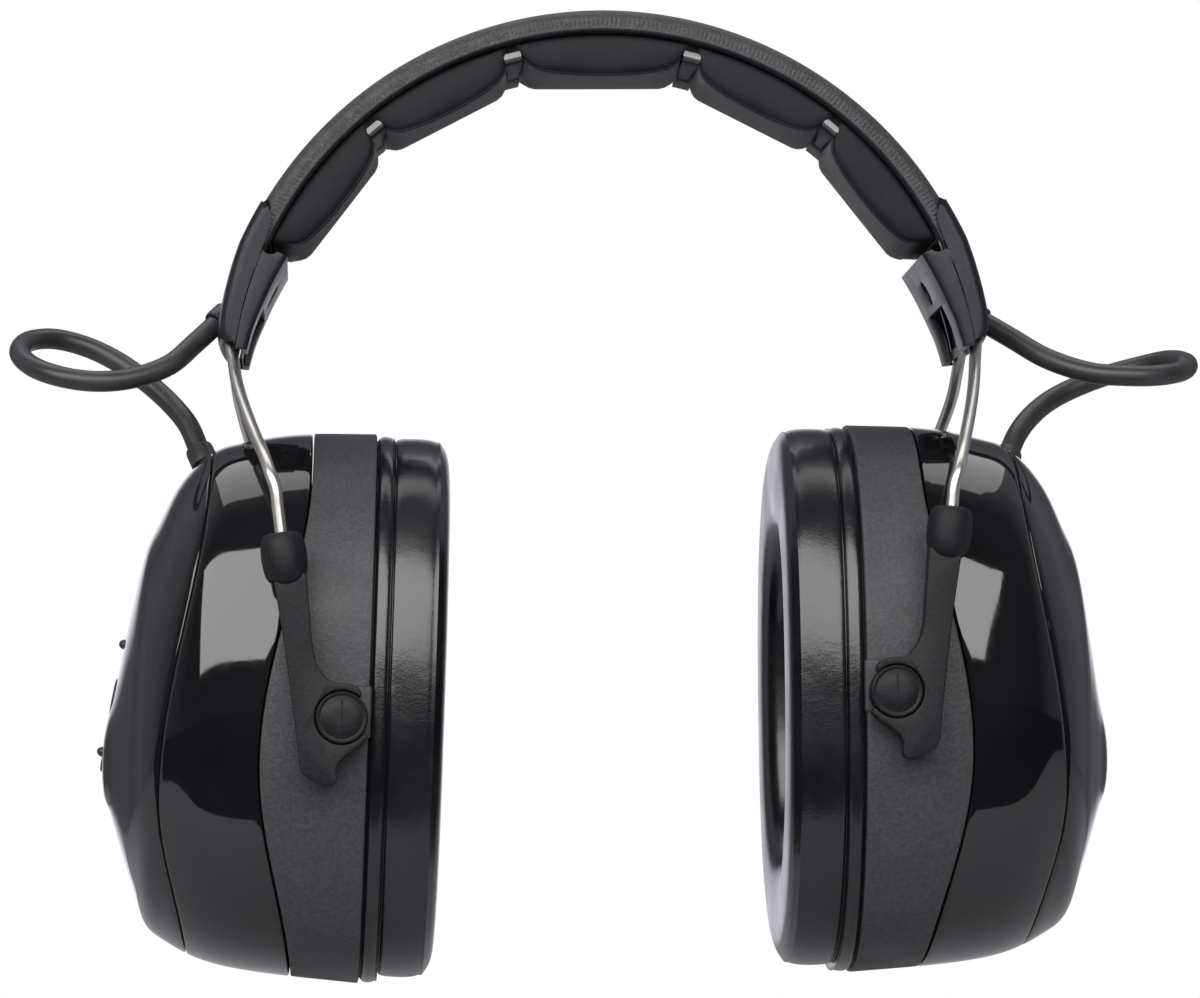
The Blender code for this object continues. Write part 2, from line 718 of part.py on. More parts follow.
def ear_cup(side, sign):
    down = Vector((-sign * math.sin(WIRE_TILT), 0, -math.cos(WIRE_TILT)))
    pivot = Vector((sign * PIVOT_X, 0, PIVOT_Z)) + down * SLIDE_REST[side]
    arms = empty(f"arms_frame_{side}", pivot)
    for way, place in ((-1, "front"), (1, "rear")):
        sliding_arm(f"arm_{place}_{side}", sign, way, arms)
    frame = empty(f"cup_frame_{side}", pivot, -sign * CUP_TILT[side])
    ear_cushion(side, sign, frame)
    case, cover = cup_shells(side, sign, frame, frame)
    cup_inside(side, sign, frame)
    if side == "left":
        radio_parts(sign, frame, cover)
    else:
        battery_parts(sign, frame)
    bpy.context.view_layer.update()
    to_cup = frame.matrix_world.inverted()
    route = CABLE_ROUTE[side]
    way_in = Vector(route[-1]) - Vector(route[-2])
    mouth = to_cup @ (Vector(route[-1]) + way_in.normalized() * GAP)
    gland(f"cup_gland_{side}", mouth, to_cup.to_3x3() @ way_in, (case, cover), frame)


def cap_side(side, sign, frame):
    end_cap(side, sign, frame)
    route = CABLE_ROUTE[side]
    way_in = Vector(route[0]) - Vector(route[1])
    mouth = Vector(route[0]) + way_in.normalized() * GAP
    gland(f"cap_gland_{side}", mouth, way_in, (bpy.data.objects[f"end_cap_{side}"],), frame)
    tube(f"cable_{side}", smooth_route(route, 2), CABLE_RADIUS, RUBBER, frame)


def main():
    frame = empty("headband_frame")
    headband(frame)
    head_pads(frame)
    spring_wires(frame)
    for side, sign in SIDES.items():
        cap_side(side, sign, frame)
        ear_cup(side, sign)


main()
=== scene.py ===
"""Studio scene of radio headphones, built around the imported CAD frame.

Metres, +Z up, +X to the right cup, -Y to the front. Pieces are made in the row frame. Each ear cup is
described in cup coordinates: u outward from the face that meets the head, y to the back, z up from the
middle of the cup.
"""

import json
import math

import bmesh
import bpy
import numpy as np
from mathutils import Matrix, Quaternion, Vector

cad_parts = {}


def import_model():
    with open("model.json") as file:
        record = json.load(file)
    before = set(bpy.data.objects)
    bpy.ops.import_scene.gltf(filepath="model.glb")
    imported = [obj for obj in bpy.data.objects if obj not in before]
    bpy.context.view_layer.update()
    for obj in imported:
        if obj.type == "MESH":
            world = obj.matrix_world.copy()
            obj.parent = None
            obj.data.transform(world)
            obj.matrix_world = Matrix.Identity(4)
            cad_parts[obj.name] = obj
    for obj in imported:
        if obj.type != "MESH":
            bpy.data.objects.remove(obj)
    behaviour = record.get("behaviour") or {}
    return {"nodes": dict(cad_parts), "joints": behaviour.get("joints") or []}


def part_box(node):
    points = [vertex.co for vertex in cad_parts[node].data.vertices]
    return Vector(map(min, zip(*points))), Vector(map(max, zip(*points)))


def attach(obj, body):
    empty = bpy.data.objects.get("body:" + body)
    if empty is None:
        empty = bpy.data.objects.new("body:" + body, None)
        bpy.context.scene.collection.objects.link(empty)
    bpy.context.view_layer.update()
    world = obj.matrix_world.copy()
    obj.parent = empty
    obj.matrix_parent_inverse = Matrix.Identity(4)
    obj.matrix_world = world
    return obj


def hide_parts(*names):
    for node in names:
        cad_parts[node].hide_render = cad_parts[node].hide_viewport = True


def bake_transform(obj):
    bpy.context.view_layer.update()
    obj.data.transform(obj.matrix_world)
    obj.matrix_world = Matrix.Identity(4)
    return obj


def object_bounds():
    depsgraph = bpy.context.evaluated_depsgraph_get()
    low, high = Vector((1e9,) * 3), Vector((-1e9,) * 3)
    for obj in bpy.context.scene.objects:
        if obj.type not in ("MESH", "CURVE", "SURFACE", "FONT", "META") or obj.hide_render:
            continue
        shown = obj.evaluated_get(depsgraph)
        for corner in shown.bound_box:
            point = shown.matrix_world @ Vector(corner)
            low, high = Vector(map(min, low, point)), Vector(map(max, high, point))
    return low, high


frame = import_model()
CAD_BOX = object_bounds()
JOINTS = {joint["name"]: joint for joint in frame["joints"]}
SIDES = {"left": -1, "right": 1}
WAYS = (("front", -1), ("rear", 1))

# Headband: everything in it follows arcs about one centre.
CENTRE_Z = -0.0648
COVER_R = 0.0788
COVER_HALF = 0.018
SKIRT_R = 0.0739
COVER_WALL = 0.0018
COVER_ANGLES = (25.0, 155.0)
PIPING_R = 0.0738
PIPING_RADIUS = 0.0005
LINER_R = (0.0732, 0.0736)
PAD_TOP_R = 0.0730
PAD_HALF = 0.0165
PAD_DEPTH_R = 0.0648
PAD_EDGES = (25.4, 50.2, 75.4, 104.6, 129.8, 154.6)
PAD_GAP = 0.4

# End caps and brackets.
CAP_HALF = 0.0195
CAP_WALL = 0.0013
CAP_ANGLES = (9.0, 30.3)
BRACKET_TOP_R = 0.0737
BRACKET_DEPTH = 0.0037
BRACKET_ANGLES = (8.1, 24.4)
BRACKET_WALL = 0.0013
# Degrees and radius on the right side. The left side mirrors them.
CAP_CROWN = (
    (9.0, 0.0770), (9.8, 0.0777), (11.0, 0.0782), (13.0, 0.0785), (17.0, 0.0788), (24.0, 0.0794),
    (30.3, 0.0793),
)
CAP_EDGE = (
    (8.0, 0.0739), (22.0, 0.0739), (25.0, 0.0741), (27.4, 0.0744), (28.6, 0.0749), (29.4, 0.0757),
    (30.0, 0.0767), (30.3, 0.0779),
)
BRACKET_PLATE = ((8.0, 0.0714), (12.0, 0.0709), (16.0, 0.0701), (24.4, 0.0688))

# Spring wires and arms.
WIRE_RADIUS = 0.0012
WIRE_R = 0.0750
WIRE_HALF_GAP = 0.013
WIRE_LEAN = math.tan(math.radians(6.8))
WIRE_OFFSET = 0.0071
PIVOT_X = 0.0530
PIVOT_Z = -0.1263
ARM_Y = 0.0464
ARM_HALF = 0.0023
FERRULE_TOP = 0.0354
FERRULE_LENGTH = 0.009
INSERTED = 0.024
STUD_RADIUS = 0.0050
RING_HOLE = 0.0052
RING_RADIUS = 0.0066
STUD_PAD_Y = 0.0433

# Ear cups.
PIVOT_U = 0.0198
PIVOT_IN_CUP = {-1: -0.0040, 1: -0.0008}  # by the sign of the side
CUP_TILT = {"left": math.radians(2.4), "right": math.radians(-0.1)}
OVAL_POWER = 2 / 2.35
WALL = 0.002
GAP = 0.0003
# u, top, bottom and half width at each station along the cup.
CUP_STATIONS = np.array(
    (
        (0.0140, 0.0546, 0.0544, 0.0428), (0.0300, 0.0540, 0.0532, 0.0424),
        (0.0400, 0.0522, 0.0520, 0.0410), (0.0470, 0.0498, 0.0502, 0.0388),
        (0.0530, 0.0436, 0.0472, 0.0346), (0.0570, 0.0354, 0.0440, 0.0308),
        (0.0595, 0.0293, 0.0375, 0.0268), (0.0620, 0.0170, 0.0305, 0.0190),
        (0.0645, 0.0025, 0.0230, 0.0108), (0.0660, -0.0043, 0.0193, 0.0066),
        (0.0666, -0.0081, 0.0155, 0.0036), (0.0668, -0.0118, 0.0118, 0.0000),
    )
)
BASE_START = 0.0375  # in stations
CUSHION_SIZE = (0.0534, 0.0420)
CUSHION_HOLE = (0.0330, 0.0225)
CUSHION_MIDDLE = 0.0005
BUTTONS = ("button_volume_up", "button_power", "button_volume_down")
BUTTON_RADIUS = 0.0040
BUTTON_HOLE = 0.0044

# Cables, from the end caps to the cups. The two halves of a cable meet at its far turn.
CABLE_RADIUS = 0.0021
CABLE_HOLE = 0.0030
CABLE_TURN = 8
CABLE_ROUTE = {
    "left": (
        (-0.0774, 0.0000, -0.0478), (-0.0812, -0.0034, -0.0517), (-0.0862, -0.0080, -0.0565),
        (-0.0933, -0.0112, -0.0594), (-0.1003, -0.0128, -0.0602), (-0.1071, -0.0118, -0.0592),
        (-0.1130, -0.0075, -0.0567), (-0.1161, 0.0000, -0.0531), (-0.1148, 0.0085, -0.0498),
        (-0.1097, 0.0140, -0.0487), (-0.1032, 0.0160, -0.0502), (-0.0971, 0.0152, -0.0533),
        (-0.0916, 0.0130, -0.0574), (-0.0868, 0.0095, -0.0620), (-0.0829, 0.0055, -0.0670),
        (-0.0806, 0.0024, -0.0724),
    ),
    "right": (
        (0.0774, 0.0000, -0.0479), (0.0824, -0.0028, -0.0514), (0.0887, -0.0070, -0.0559),
        (0.0965, -0.0112, -0.0592), (0.1039, -0.0128, -0.0601), (0.1107, -0.0114, -0.0599),
        (0.1162, -0.0066, -0.0585), (0.1183, 0.0012, -0.0562), (0.1161, 0.0088, -0.0547),
        (0.1106, 0.0140, -0.0554), (0.1038, 0.0158, -0.0571), (0.0971, 0.0146, -0.0597),
        (0.0914, 0.0118, -0.0628), (0.0871, 0.0082, -0.0664), (0.0841, 0.0047, -0.0701),
        (0.0820, 0.0018, -0.0741),
    ),
}

# Camera and stage.
AIM = Vector((-0.0006, 0.0, -0.083))
CAMERA_DISTANCE = 1.08
CAMERA_YAW = math.radians(-3.1)
CAMERA_ROLL = math.radians(-0.62)
CAMERA_RISE = math.radians(-4.8)
LENS = 162
FLAG_Y = -0.14
FLAG_TOP = -0.125
FLOOR_DROP = 0.032  # clear of the cups when they slide down
# Place from front to back, and brightness.
WORLD_LEVELS = (
    (0.001, 0.03), (0.35, 0.03), (0.55, 0.36), (0.74, 0.36), (0.90, 0.12), (0.955, 0.14), (0.985, 1.0),
)


# Curves and points


def catmull_rom(a, b, c, d, t):
    """The curve from b to c, where t goes from 0 to 1."""
    cubic = 3 * b - a - 3 * c + d
    return 0.5 * (2 * b + (c - a) * t + (2 * a - 5 * b + 4 * c - d) * t**2 + cubic * t**3)


def with_ends(points):
    """The points and one more at each end, in line with the last two."""
    return np.concatenate([[2 * points[0] - points[1]], points, [2 * points[-1] - points[-2]]])


def smooth_points(points, samples, closed=False):
    """A Catmull-Rom curve through the points, as an array."""
    points = np.array(points, float)
    if closed:
        ends = np.concatenate([points[-1:], points, points[:2]])
        stretches = len(points)
    else:
        ends = with_ends(points)
        stretches = len(points) - 1
    t = (np.arange(samples) / samples)[:, None]
    runs = [catmull_rom(*ends[i : i + 4], t) for i in range(stretches)]
    if not closed:
        runs.append(points[-1:])
    return np.concatenate(runs)


def on_arc(radius, degrees):
    angle = np.radians(degrees)
    return radius * np.cos(angle), CENTRE_Z + radius * np.sin(angle)


def arc_points(radius, degrees, y):
    """Points in the row frame, from arrays of radius, angle and y."""
    x, z = on_arc(radius, degrees)
    return np.stack(np.broadcast_arrays(x, y, z), axis=-1)


def mirrored(sign, angles):
    return angles if sign > 0 else (180 - angles[1], 180 - angles[0])


def pivot(side):
    return np.array(JOINTS[f"cup_pivot_{side}"]["pos_m"])


def cup_world(side, u, y, z):
    """Points in the row frame, from arrays of cup coordinates."""
    sign = SIDES[side]
    x, y, z = np.broadcast_arrays(sign * (u - PIVOT_U), y, z - PIVOT_IN_CUP[sign])
    turn = -sign * CUP_TILT[side]
    turned_x = x * math.cos(turn) + z * math.sin(turn)
    turned_z = z * math.cos(turn) - x * math.sin(turn)
    return np.stack([turned_x, y, turned_z], axis=-1) + pivot(side)


def signed_power(value, power):
    return np.sign(value) * np.abs(value) ** power


# Objects


def add_object(name, mesh):
    obj = bpy.data.objects.new(name, mesh)
    bpy.context.scene.collection.objects.link(obj)
    return obj


def shade(mesh, sharp=35):
    """Smooth shading, with sharp edges past that angle."""
    mesh.shade_smooth()
    mesh.set_sharp_from_angle(angle=math.radians(sharp))


def tidy_mesh(mesh, sharp):
    """Outward normals and smooth shading."""
    bm = bmesh.new()
    bm.from_mesh(mesh)
    bmesh.ops.recalc_face_normals(bm, faces=bm.faces)
    bm.to_mesh(mesh)
    bm.free()
    shade(mesh, sharp)


def grid_object(name, rows, ring=True, loop=False, caps=(), sharp=35):
    """A surface over rows of points. ring closes each row, loop joins the last row to the first, and caps
    names the rows to fill."""
    rows = np.asarray(rows, float)
    count, width = rows.shape[:2]
    index = np.arange(count * width).reshape(count, width)
    faces = []
    for i in range(count if loop else count - 1):
        low, high = index[i], index[(i + 1) % count]
        for j in range(width if ring else width - 1):
            k = (j + 1) % width
            faces.append((low[j], low[k], high[k], high[j]))
    for end in caps:
        faces.append(tuple(index[end]))
    mesh = bpy.data.meshes.new(name)
    mesh.from_pydata(rows.reshape(-1, 3).tolist(), [], [tuple(map(int, face)) for face in faces])
    tidy_mesh(mesh, sharp)
    return add_object(name, mesh)


def apply_modifiers(obj):
    graph = bpy.context.evaluated_depsgraph_get()
    mesh = bpy.data.meshes.new_from_object(obj.evaluated_get(graph))
    obj.modifiers.clear()
    obj.data = mesh
    shade(mesh)
    return obj


def bevel(obj, width, segments=3, degrees=50):
    modifier = obj.modifiers.new("rounded", "BEVEL")
    modifier.width = width
    modifier.segments = segments
    modifier.limit_method = "ANGLE"
    modifier.angle_limit = math.radians(degrees)
    return apply_modifiers(obj)


def cut(obj, cutters):
    """Takes the cutters away from the object, then removes them."""
    for cutter in cutters:
        modifier = obj.modifiers.new("cut", "BOOLEAN")
        modifier.operation = "DIFFERENCE"
        modifier.object = cutter
    apply_modifiers(obj)
    for cutter in cutters:
        bpy.data.objects.remove(cutter)
    return obj


def solidify(obj, thickness, offset=-1.0):
    modifier = obj.modifiers.new("wall", "SOLIDIFY")
    modifier.thickness = thickness
    modifier.offset = offset
    modifier.use_even_offset = True
    return apply_modifiers(obj)


def join(name, objects):
    """The meshes of these objects as one object."""
    bm = bmesh.new()
    for obj in objects:
        obj.data.transform(obj.matrix_world)
        bm.from_mesh(obj.data)
    mesh = bpy.data.meshes.new(name)
    bm.to_mesh(mesh)
    bm.free()
    for obj in objects:
        bpy.data.objects.remove(obj)
    shade(mesh)
    return add_object(name, mesh)


def axis_frame(direction):
    """Two unit vectors square to the direction and to each other."""
    direction = Vector(direction).normalized()
    across = direction.orthogonal().normalized()
    return np.array(across), np.array(direction.cross(across))


def turned(name, start, direction, profile, sides=48):
    """A shape turned about an axis. The profile is pairs of distance along the axis and radius."""
    across, up = axis_frame(direction)
    along = np.array(Vector(direction).normalized())
    turns = np.linspace(0, 2 * math.pi, sides, endpoint=False)[:, None]
    spokes = np.cos(turns) * across + np.sin(turns) * up
    rows = [np.array(start) + along * distance + spokes * radius for distance, radius in profile]
    return grid_object(name, rows, caps=(0, -1))


def tube_rings(points, radius, sides):
    """Rings round a path, turned as little as possible from one to the next."""
    points = np.asarray(points, float)
    tangents = np.gradient(points, axis=0)
    tangents /= np.linalg.norm(tangents, axis=1)[:, None]
    across = axis_frame(tangents[0])[0]
    turns = np.linspace(0, 2 * math.pi, sides, endpoint=False)[:, None]
    rings = []
    for point, tangent in zip(points, tangents):
        across = across - tangent * (across @ tangent)
        across /= np.linalg.norm(across)
        up = np.cross(tangent, across)
        rings.append(point + radius * (np.cos(turns) * across + np.sin(turns) * up))
    return np.array(rings)


def tube(name, points, radius, sides):
    return grid_object(name, tube_rings(points, radius, sides), caps=(0, -1))


def outline_object(name, outline, y_low, y_high):
    """A flat outline of (x, z) points, pulled along Y."""
    outline = np.asarray(outline, float)
    rows = [np.insert(outline, 1, y, axis=1) for y in (y_low, y_high)]
    return grid_object(name, rows, caps=(0, -1))


def place(obj, body, slot, material, *nodes):
    """The piece gets its finish, stands for its CAD nodes and rides on its body."""
    obj.data.materials.clear()
    obj.data.materials.append(material)
    if nodes:
        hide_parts(*nodes)
    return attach(obj, body)


# Materials


class Finish:
    """A node material: a Principled BSDF and the texture nodes that feed it."""

    def __init__(
        self, name, colour, roughness, metallic=0.0, specular=0.5, coat=0.0, coat_roughness=0.05, sheen=0.0
    ):
        self.material = bpy.data.materials.new(name)
        self.material.use_nodes = True
        self.nodes = self.material.node_tree.nodes
        self.links = self.material.node_tree.links
        self.shader = self.nodes["Principled BSDF"]
        values = {
            "Base Color": (*colour, 1.0),
            "Roughness": roughness,
            "Metallic": metallic,
            "Specular IOR Level": specular,
            "Coat Weight": coat,
            "Coat Roughness": coat_roughness,
            "Sheen Weight": sheen,
            "Sheen Roughness": 0.4,
        }
        for socket, value in values.items():
            self.shader.inputs[socket].default_value = value
        self.place = self.nodes.new("ShaderNodeTexCoord").outputs["Object"]
        self.normal = None

    def node(self, kind, links=(), **values):
        """A new node. Names of inputs take an underscore for a space."""
        node = self.nodes.new(kind)
        for socket, value in values.items():
            node.inputs[socket.replace("_", " ")].default_value = value
        for socket, source in links:
            self.links.new(source, node.inputs[socket])
        return node

    def noise(self, scale, detail=2.0, roughness=0.5, vector=None):
        links = [("Vector", vector or self.place)]
        node = self.node("ShaderNodeTexNoise", links, Scale=scale, Detail=detail, Roughness=roughness)
        return node.outputs["Fac"]

    def stretched(self, stretch):
        node = self.node("ShaderNodeVectorMath", [(0, self.place)])
        node.operation = "MULTIPLY"
        node.inputs[1].default_value = stretch
        return node.outputs["Vector"]

    def cells(self, scale, feature="F1"):
        node = self.node("ShaderNodeTexVoronoi", [("Vector", self.place)], Scale=scale)
        node.feature = feature
        return node.outputs["Distance"]

    def maths(self, operation, *values):
        node = self.nodes.new("ShaderNodeMath")
        node.operation = operation
        for socket, value in zip(node.inputs, values):
            if isinstance(value, (int, float)):
                socket.default_value = value
            else:
                self.links.new(value, socket)
        return node.outputs["Value"]

    def spread(self, value, low, high, new_low=0.0, new_high=1.0):
        ends = {"From_Min": low, "From_Max": high, "To_Min": new_low, "To_Max": new_high}
        return self.node("ShaderNodeMapRange", [("Value", value)], **ends).outputs["Result"]

    def colour_between(self, value, first, second, low=0.3, high=0.7):
        """The first colour where the value is low, the second where it is high."""
        node = self.nodes.new("ShaderNodeMix")
        node.data_type = "RGBA"
        self.links.new(self.spread(value, low, high), node.inputs["Factor"])
        node.inputs["A"].default_value = (*first, 1.0)
        node.inputs["B"].default_value = (*second, 1.0)
        self.links.new(node.outputs["Result"], self.shader.inputs["Base Color"])

    def roughness_between(self, value, low, high):
        self.links.new(self.spread(value, 0.3, 0.7, low, high), self.shader.inputs["Roughness"])

    def bump(self, height, distance):
        node = self.node("ShaderNodeBump", [("Height", height)], Strength=1.0, Distance=distance)
        if self.normal is not None:
            self.links.new(self.normal, node.inputs["Normal"])
        self.normal = node.outputs["Normal"]
        self.links.new(self.normal, self.shader.inputs["Normal"])

    def axis(self, name):
        return self.node("ShaderNodeSeparateXYZ", [("Vector", self.place)]).outputs[name]

    def arc_coordinates(self):
        """The angle and radius about the headband's centre."""
        x = self.axis("X")
        z = self.maths("SUBTRACT", self.axis("Z"), CENTRE_Z)
        squares = self.maths("ADD", self.maths("MULTIPLY", x, x), self.maths("MULTIPLY", z, z))
        return self.maths("ARCTAN2", z, x), self.maths("SQRT", squares)

    def waves(self, value, scale):
        return self.maths("SINE", self.maths("MULTIPLY", value, scale))


def matt_plastic(name, colour, grain, depth, roughness=0.50, specular=0.45):
    """Spark-eroded moulding: a fine, even grain whose raised points are painted a little paler, as painted
    sparkle.
    """
    finish = Finish(name, colour, roughness, specular=specular)
    fine = finish.noise(grain, 3.0, 0.65)
    broad = finish.noise(90, 3.0)
    # Painted sparkle: the raised points of the grain are painted up to 1.8 times paler, as if they catch the
    # light.
    painted_sparkle = tuple(1.8 * c for c in colour)
    finish.colour_between(fine, colour, painted_sparkle, 0.35, 0.68)
    finish.roughness_between(broad, 0.88 * roughness, 1.16 * roughness)
    finish.bump(fine, depth)
    return finish.material


def gloss_plastic():
    colour = (0.006, 0.006, 0.007)
    finish = Finish("gloss_plastic", colour, 0.05, specular=0.55, coat=0.4, coat_roughness=0.03)
    broad = finish.noise(55, 2.0)
    finish.colour_between(broad, (0.005, 0.005, 0.006), (0.008, 0.008, 0.009))
    finish.roughness_between(finish.noise(420, 4.0), 0.035, 0.075)
    finish.bump(broad, 0.00004)
    finish.bump(finish.noise(900, 1.0), 0.000002)
    return finish.material


def vinyl(name="vinyl", roughness=0.24, wrinkle=0.00010, coat=0.2):
    finish = Finish(name, (0.007, 0.007, 0.009), roughness, specular=0.6, coat=coat, coat_roughness=0.16)
    broad = finish.noise(70, 3.0)
    finish.colour_between(broad, (0.004, 0.004, 0.006), (0.008, 0.008, 0.010))
    finish.roughness_between(broad, 0.8 * roughness, 1.25 * roughness)
    finish.bump(finish.noise(160, 3.0, 0.55), wrinkle)
    finish.bump(finish.cells(2200), 0.000012)
    return finish.material


def leatherette():
    """Grained sheet with a row of short gathers along its stitched edge."""
    finish = Finish("leatherette", (0.034, 0.034, 0.035), 0.50, specular=0.45, sheen=0.10)
    grain = finish.cells(1150, "DISTANCE_TO_EDGE")
    broad = finish.noise(160, 4.0, 0.6)
    finish.colour_between(broad, (0.019, 0.019, 0.021), (0.034, 0.034, 0.037))
    finish.roughness_between(finish.noise(700, 2.0), 0.42, 0.58)
    finish.bump(finish.spread(grain, 0.0, 0.25), 0.00005)
    finish.bump(finish.noise(200, 2.0), 0.00008)
    angle, radius = finish.arc_coordinates()
    ribs = finish.waves(angle, 520.0)
    near_edge = finish.spread(radius, 0.0764, 0.0753)
    clear_of_edge = finish.spread(radius, 0.0743, 0.0747)
    band = finish.maths("MULTIPLY", near_edge, clear_of_edge)
    uneven = finish.spread(finish.noise(330, 2.0), 0.35, 0.6, 0.6, 1.0)
    finish.bump(finish.maths("MULTIPLY", finish.maths("MULTIPLY", ribs, band), uneven), 0.00005)
    return finish.material


def pad_leather():
    finish = Finish("pad_leather", (0.009, 0.009, 0.012), 0.50, specular=0.13)
    broad = finish.noise(110, 3.0)
    finish.colour_between(broad, (0.008, 0.008, 0.010), (0.014, 0.014, 0.017))
    finish.roughness_between(broad, 0.45, 0.55)
    finish.bump(finish.noise(240, 3.0), 0.00015)
    finish.bump(finish.cells(2400), 0.00002)
    return finish.material


def pad_mesh():
    """Fine knitted fabric on the side that touches the head."""
    finish = Finish("pad_mesh", (0.020, 0.018, 0.024), 0.75, specular=0.3, sheen=0.25)
    angle, _ = finish.arc_coordinates()
    knit = finish.maths("MULTIPLY", finish.waves(angle, 620.0), finish.waves(finish.axis("Y"), 9500.0))
    finish.colour_between(knit, (0.010, 0.009, 0.014), (0.030, 0.027, 0.040), -0.6, 0.8)
    finish.roughness_between(finish.noise(500), 0.65, 0.85)
    finish.bump(knit, 0.00008)
    return finish.material


def steel():
    """Drawn stainless wire, warm grey, with fine marks along it."""
    finish = Finish("steel", (0.62, 0.60, 0.56), 0.34, metallic=1.0)
    marks = finish.noise(1500, 3.0, 0.6, finish.stretched((1.0, 1.0, 0.06)))
    finish.colour_between(finish.noise(60, 2.0), (0.58, 0.56, 0.52), (0.66, 0.64, 0.60))
    finish.roughness_between(marks, 0.31, 0.37)
    finish.bump(marks, 0.000001)
    return finish.material


def rubber():
    finish = Finish("rubber", (0.022, 0.022, 0.024), 0.40, specular=0.5)
    broad = finish.noise(140, 3.0)
    finish.colour_between(broad, (0.018, 0.018, 0.020), (0.030, 0.030, 0.033))
    finish.roughness_between(broad, 0.34, 0.46)
    finish.bump(finish.noise(1600, 2.0), 0.00002)
    return finish.material


def foam():
    finish = Finish("foam", (0.022, 0.022, 0.024), 0.95, specular=0.2, sheen=0.3)
    pores = finish.cells(1300)
    # Painted shade: each pore is painted darker towards its middle, where its pit is deepest.
    finish.colour_between(pores, (0.008, 0.008, 0.009), (0.035, 0.035, 0.038), 0.1, 0.6)
    finish.roughness_between(pores, 0.85, 1.0)
    finish.bump(pores, 0.00025)
    return finish.material


def circuit_board():
    finish = Finish("circuit_board", (0.01, 0.09, 0.03), 0.35, coat=0.3)
    tracks = finish.maths("GREATER_THAN", finish.waves(finish.axis("Z"), 2600.0), 0.7)
    finish.colour_between(tracks, (0.008, 0.08, 0.028), (0.03, 0.16, 0.06))
    finish.roughness_between(finish.noise(300), 0.30, 0.42)
    finish.bump(tracks, 0.00003)
    return finish.material


def battery_cell():
    finish = Finish("battery_cell", (0.05, 0.09, 0.16), 0.30, specular=0.5, coat=0.5)
    band_z = pivot("right")[2] + 0.010
    band = finish.maths("GREATER_THAN", finish.axis("Z"), float(band_z))
    finish.colour_between(band, (0.03, 0.06, 0.12), (0.45, 0.44, 0.42))
    finish.roughness_between(finish.noise(220), 0.25, 0.35)
    finish.bump(finish.noise(900), 0.00001)
    return finish.material


MATT = matt_plastic("matt_plastic", (0.025, 0.025, 0.028), 1300, 0.00014)
ARM_PLASTIC = matt_plastic("arm_plastic", (0.006, 0.006, 0.0075), 1300, 0.00005, specular=0.24)
CAP_PLASTIC = matt_plastic("cap_plastic", (0.007, 0.007, 0.010), 2400, 0.00003, 0.36, 0.28)
GLOSS = gloss_plastic()
VINYL = vinyl()
WEB_VINYL = vinyl("web_vinyl", 0.14, 0.00003, 1.0)
LEATHERETTE = leatherette()
PAD_LEATHER = pad_leather()
PAD_MESH = pad_mesh()
STEEL = steel()
RUBBER = rubber()
FOAM = foam()
BOARD = circuit_board()
CELL = battery_cell()


# Camera, stage and cables


def camera():
    data = bpy.data.cameras.new("camera")
    data.lens = LENS
    data.sensor_width = 36
    data.clip_start = 0.01
    obj = add_object("camera", data)
    level = math.cos(CAMERA_RISE)
    back = Vector((math.sin(CAMERA_YAW) * level, -math.cos(CAMERA_YAW) * level, math.sin(CAMERA_RISE)))
    obj.location = AIM + back * CAMERA_DISTANCE
    obj.rotation_mode = "QUATERNION"
    roll = Quaternion((0, 0, 1), CAMERA_ROLL)
    obj.rotation_quaternion = (-back).to_track_quat("-Z", "Y") @ roll
    bpy.context.scene.camera = obj


def soft_box(name, place_at, aim, size, strength):
    """An area light whose face has this radiance."""
    data = bpy.data.lights.new(name, "AREA")
    data.shape = "RECTANGLE"
    data.size, data.size_y = size
    data.energy = strength * math.pi * size[0] * size[1]
    obj = add_object(name, data)
    obj.location = place_at
    obj.rotation_euler = (Vector(aim) - Vector(place_at)).to_track_quat("-Z", "Y").to_euler()
    obj.visible_camera = False


def card(name, half_width, low, high, finish):
    """A flat sheet between two (y, z) edges, hidden from the camera."""
    obj = add_object(name, bpy.data.meshes.new(name))
    corners = [(-half_width, *low), (half_width, *low), (half_width, *high), (-half_width, *high)]
    obj.data.from_pydata(corners, [], [(0, 1, 2, 3)])
    obj.data.materials.append(finish.material)
    obj.visible_camera = False
    return obj


def stage():
    """A floor that bounces light up, and a black flag in front that only reflections see."""
    floor_z = CAD_BOX[0].z - FLOOR_DROP
    paint = Finish("floor_paint", (0.50, 0.51, 0.52), 0.6, specular=0.2)
    paint.colour_between(paint.noise(3.0), (0.49, 0.50, 0.51), (0.51, 0.52, 0.53), 0.0, 1.0)
    floor = card("floor", 1.2, (-1.6, floor_z), (1.2, floor_z), paint)
    cloth = Finish("flag_cloth", (0.003, 0.003, 0.003), 1.0, specular=0.0)
    flag = card("flag", 1.5, (FLAG_Y, floor_z), (FLAG_Y, FLAG_TOP), cloth)
    flag.visible_diffuse = False
    flag.visible_shadow = False


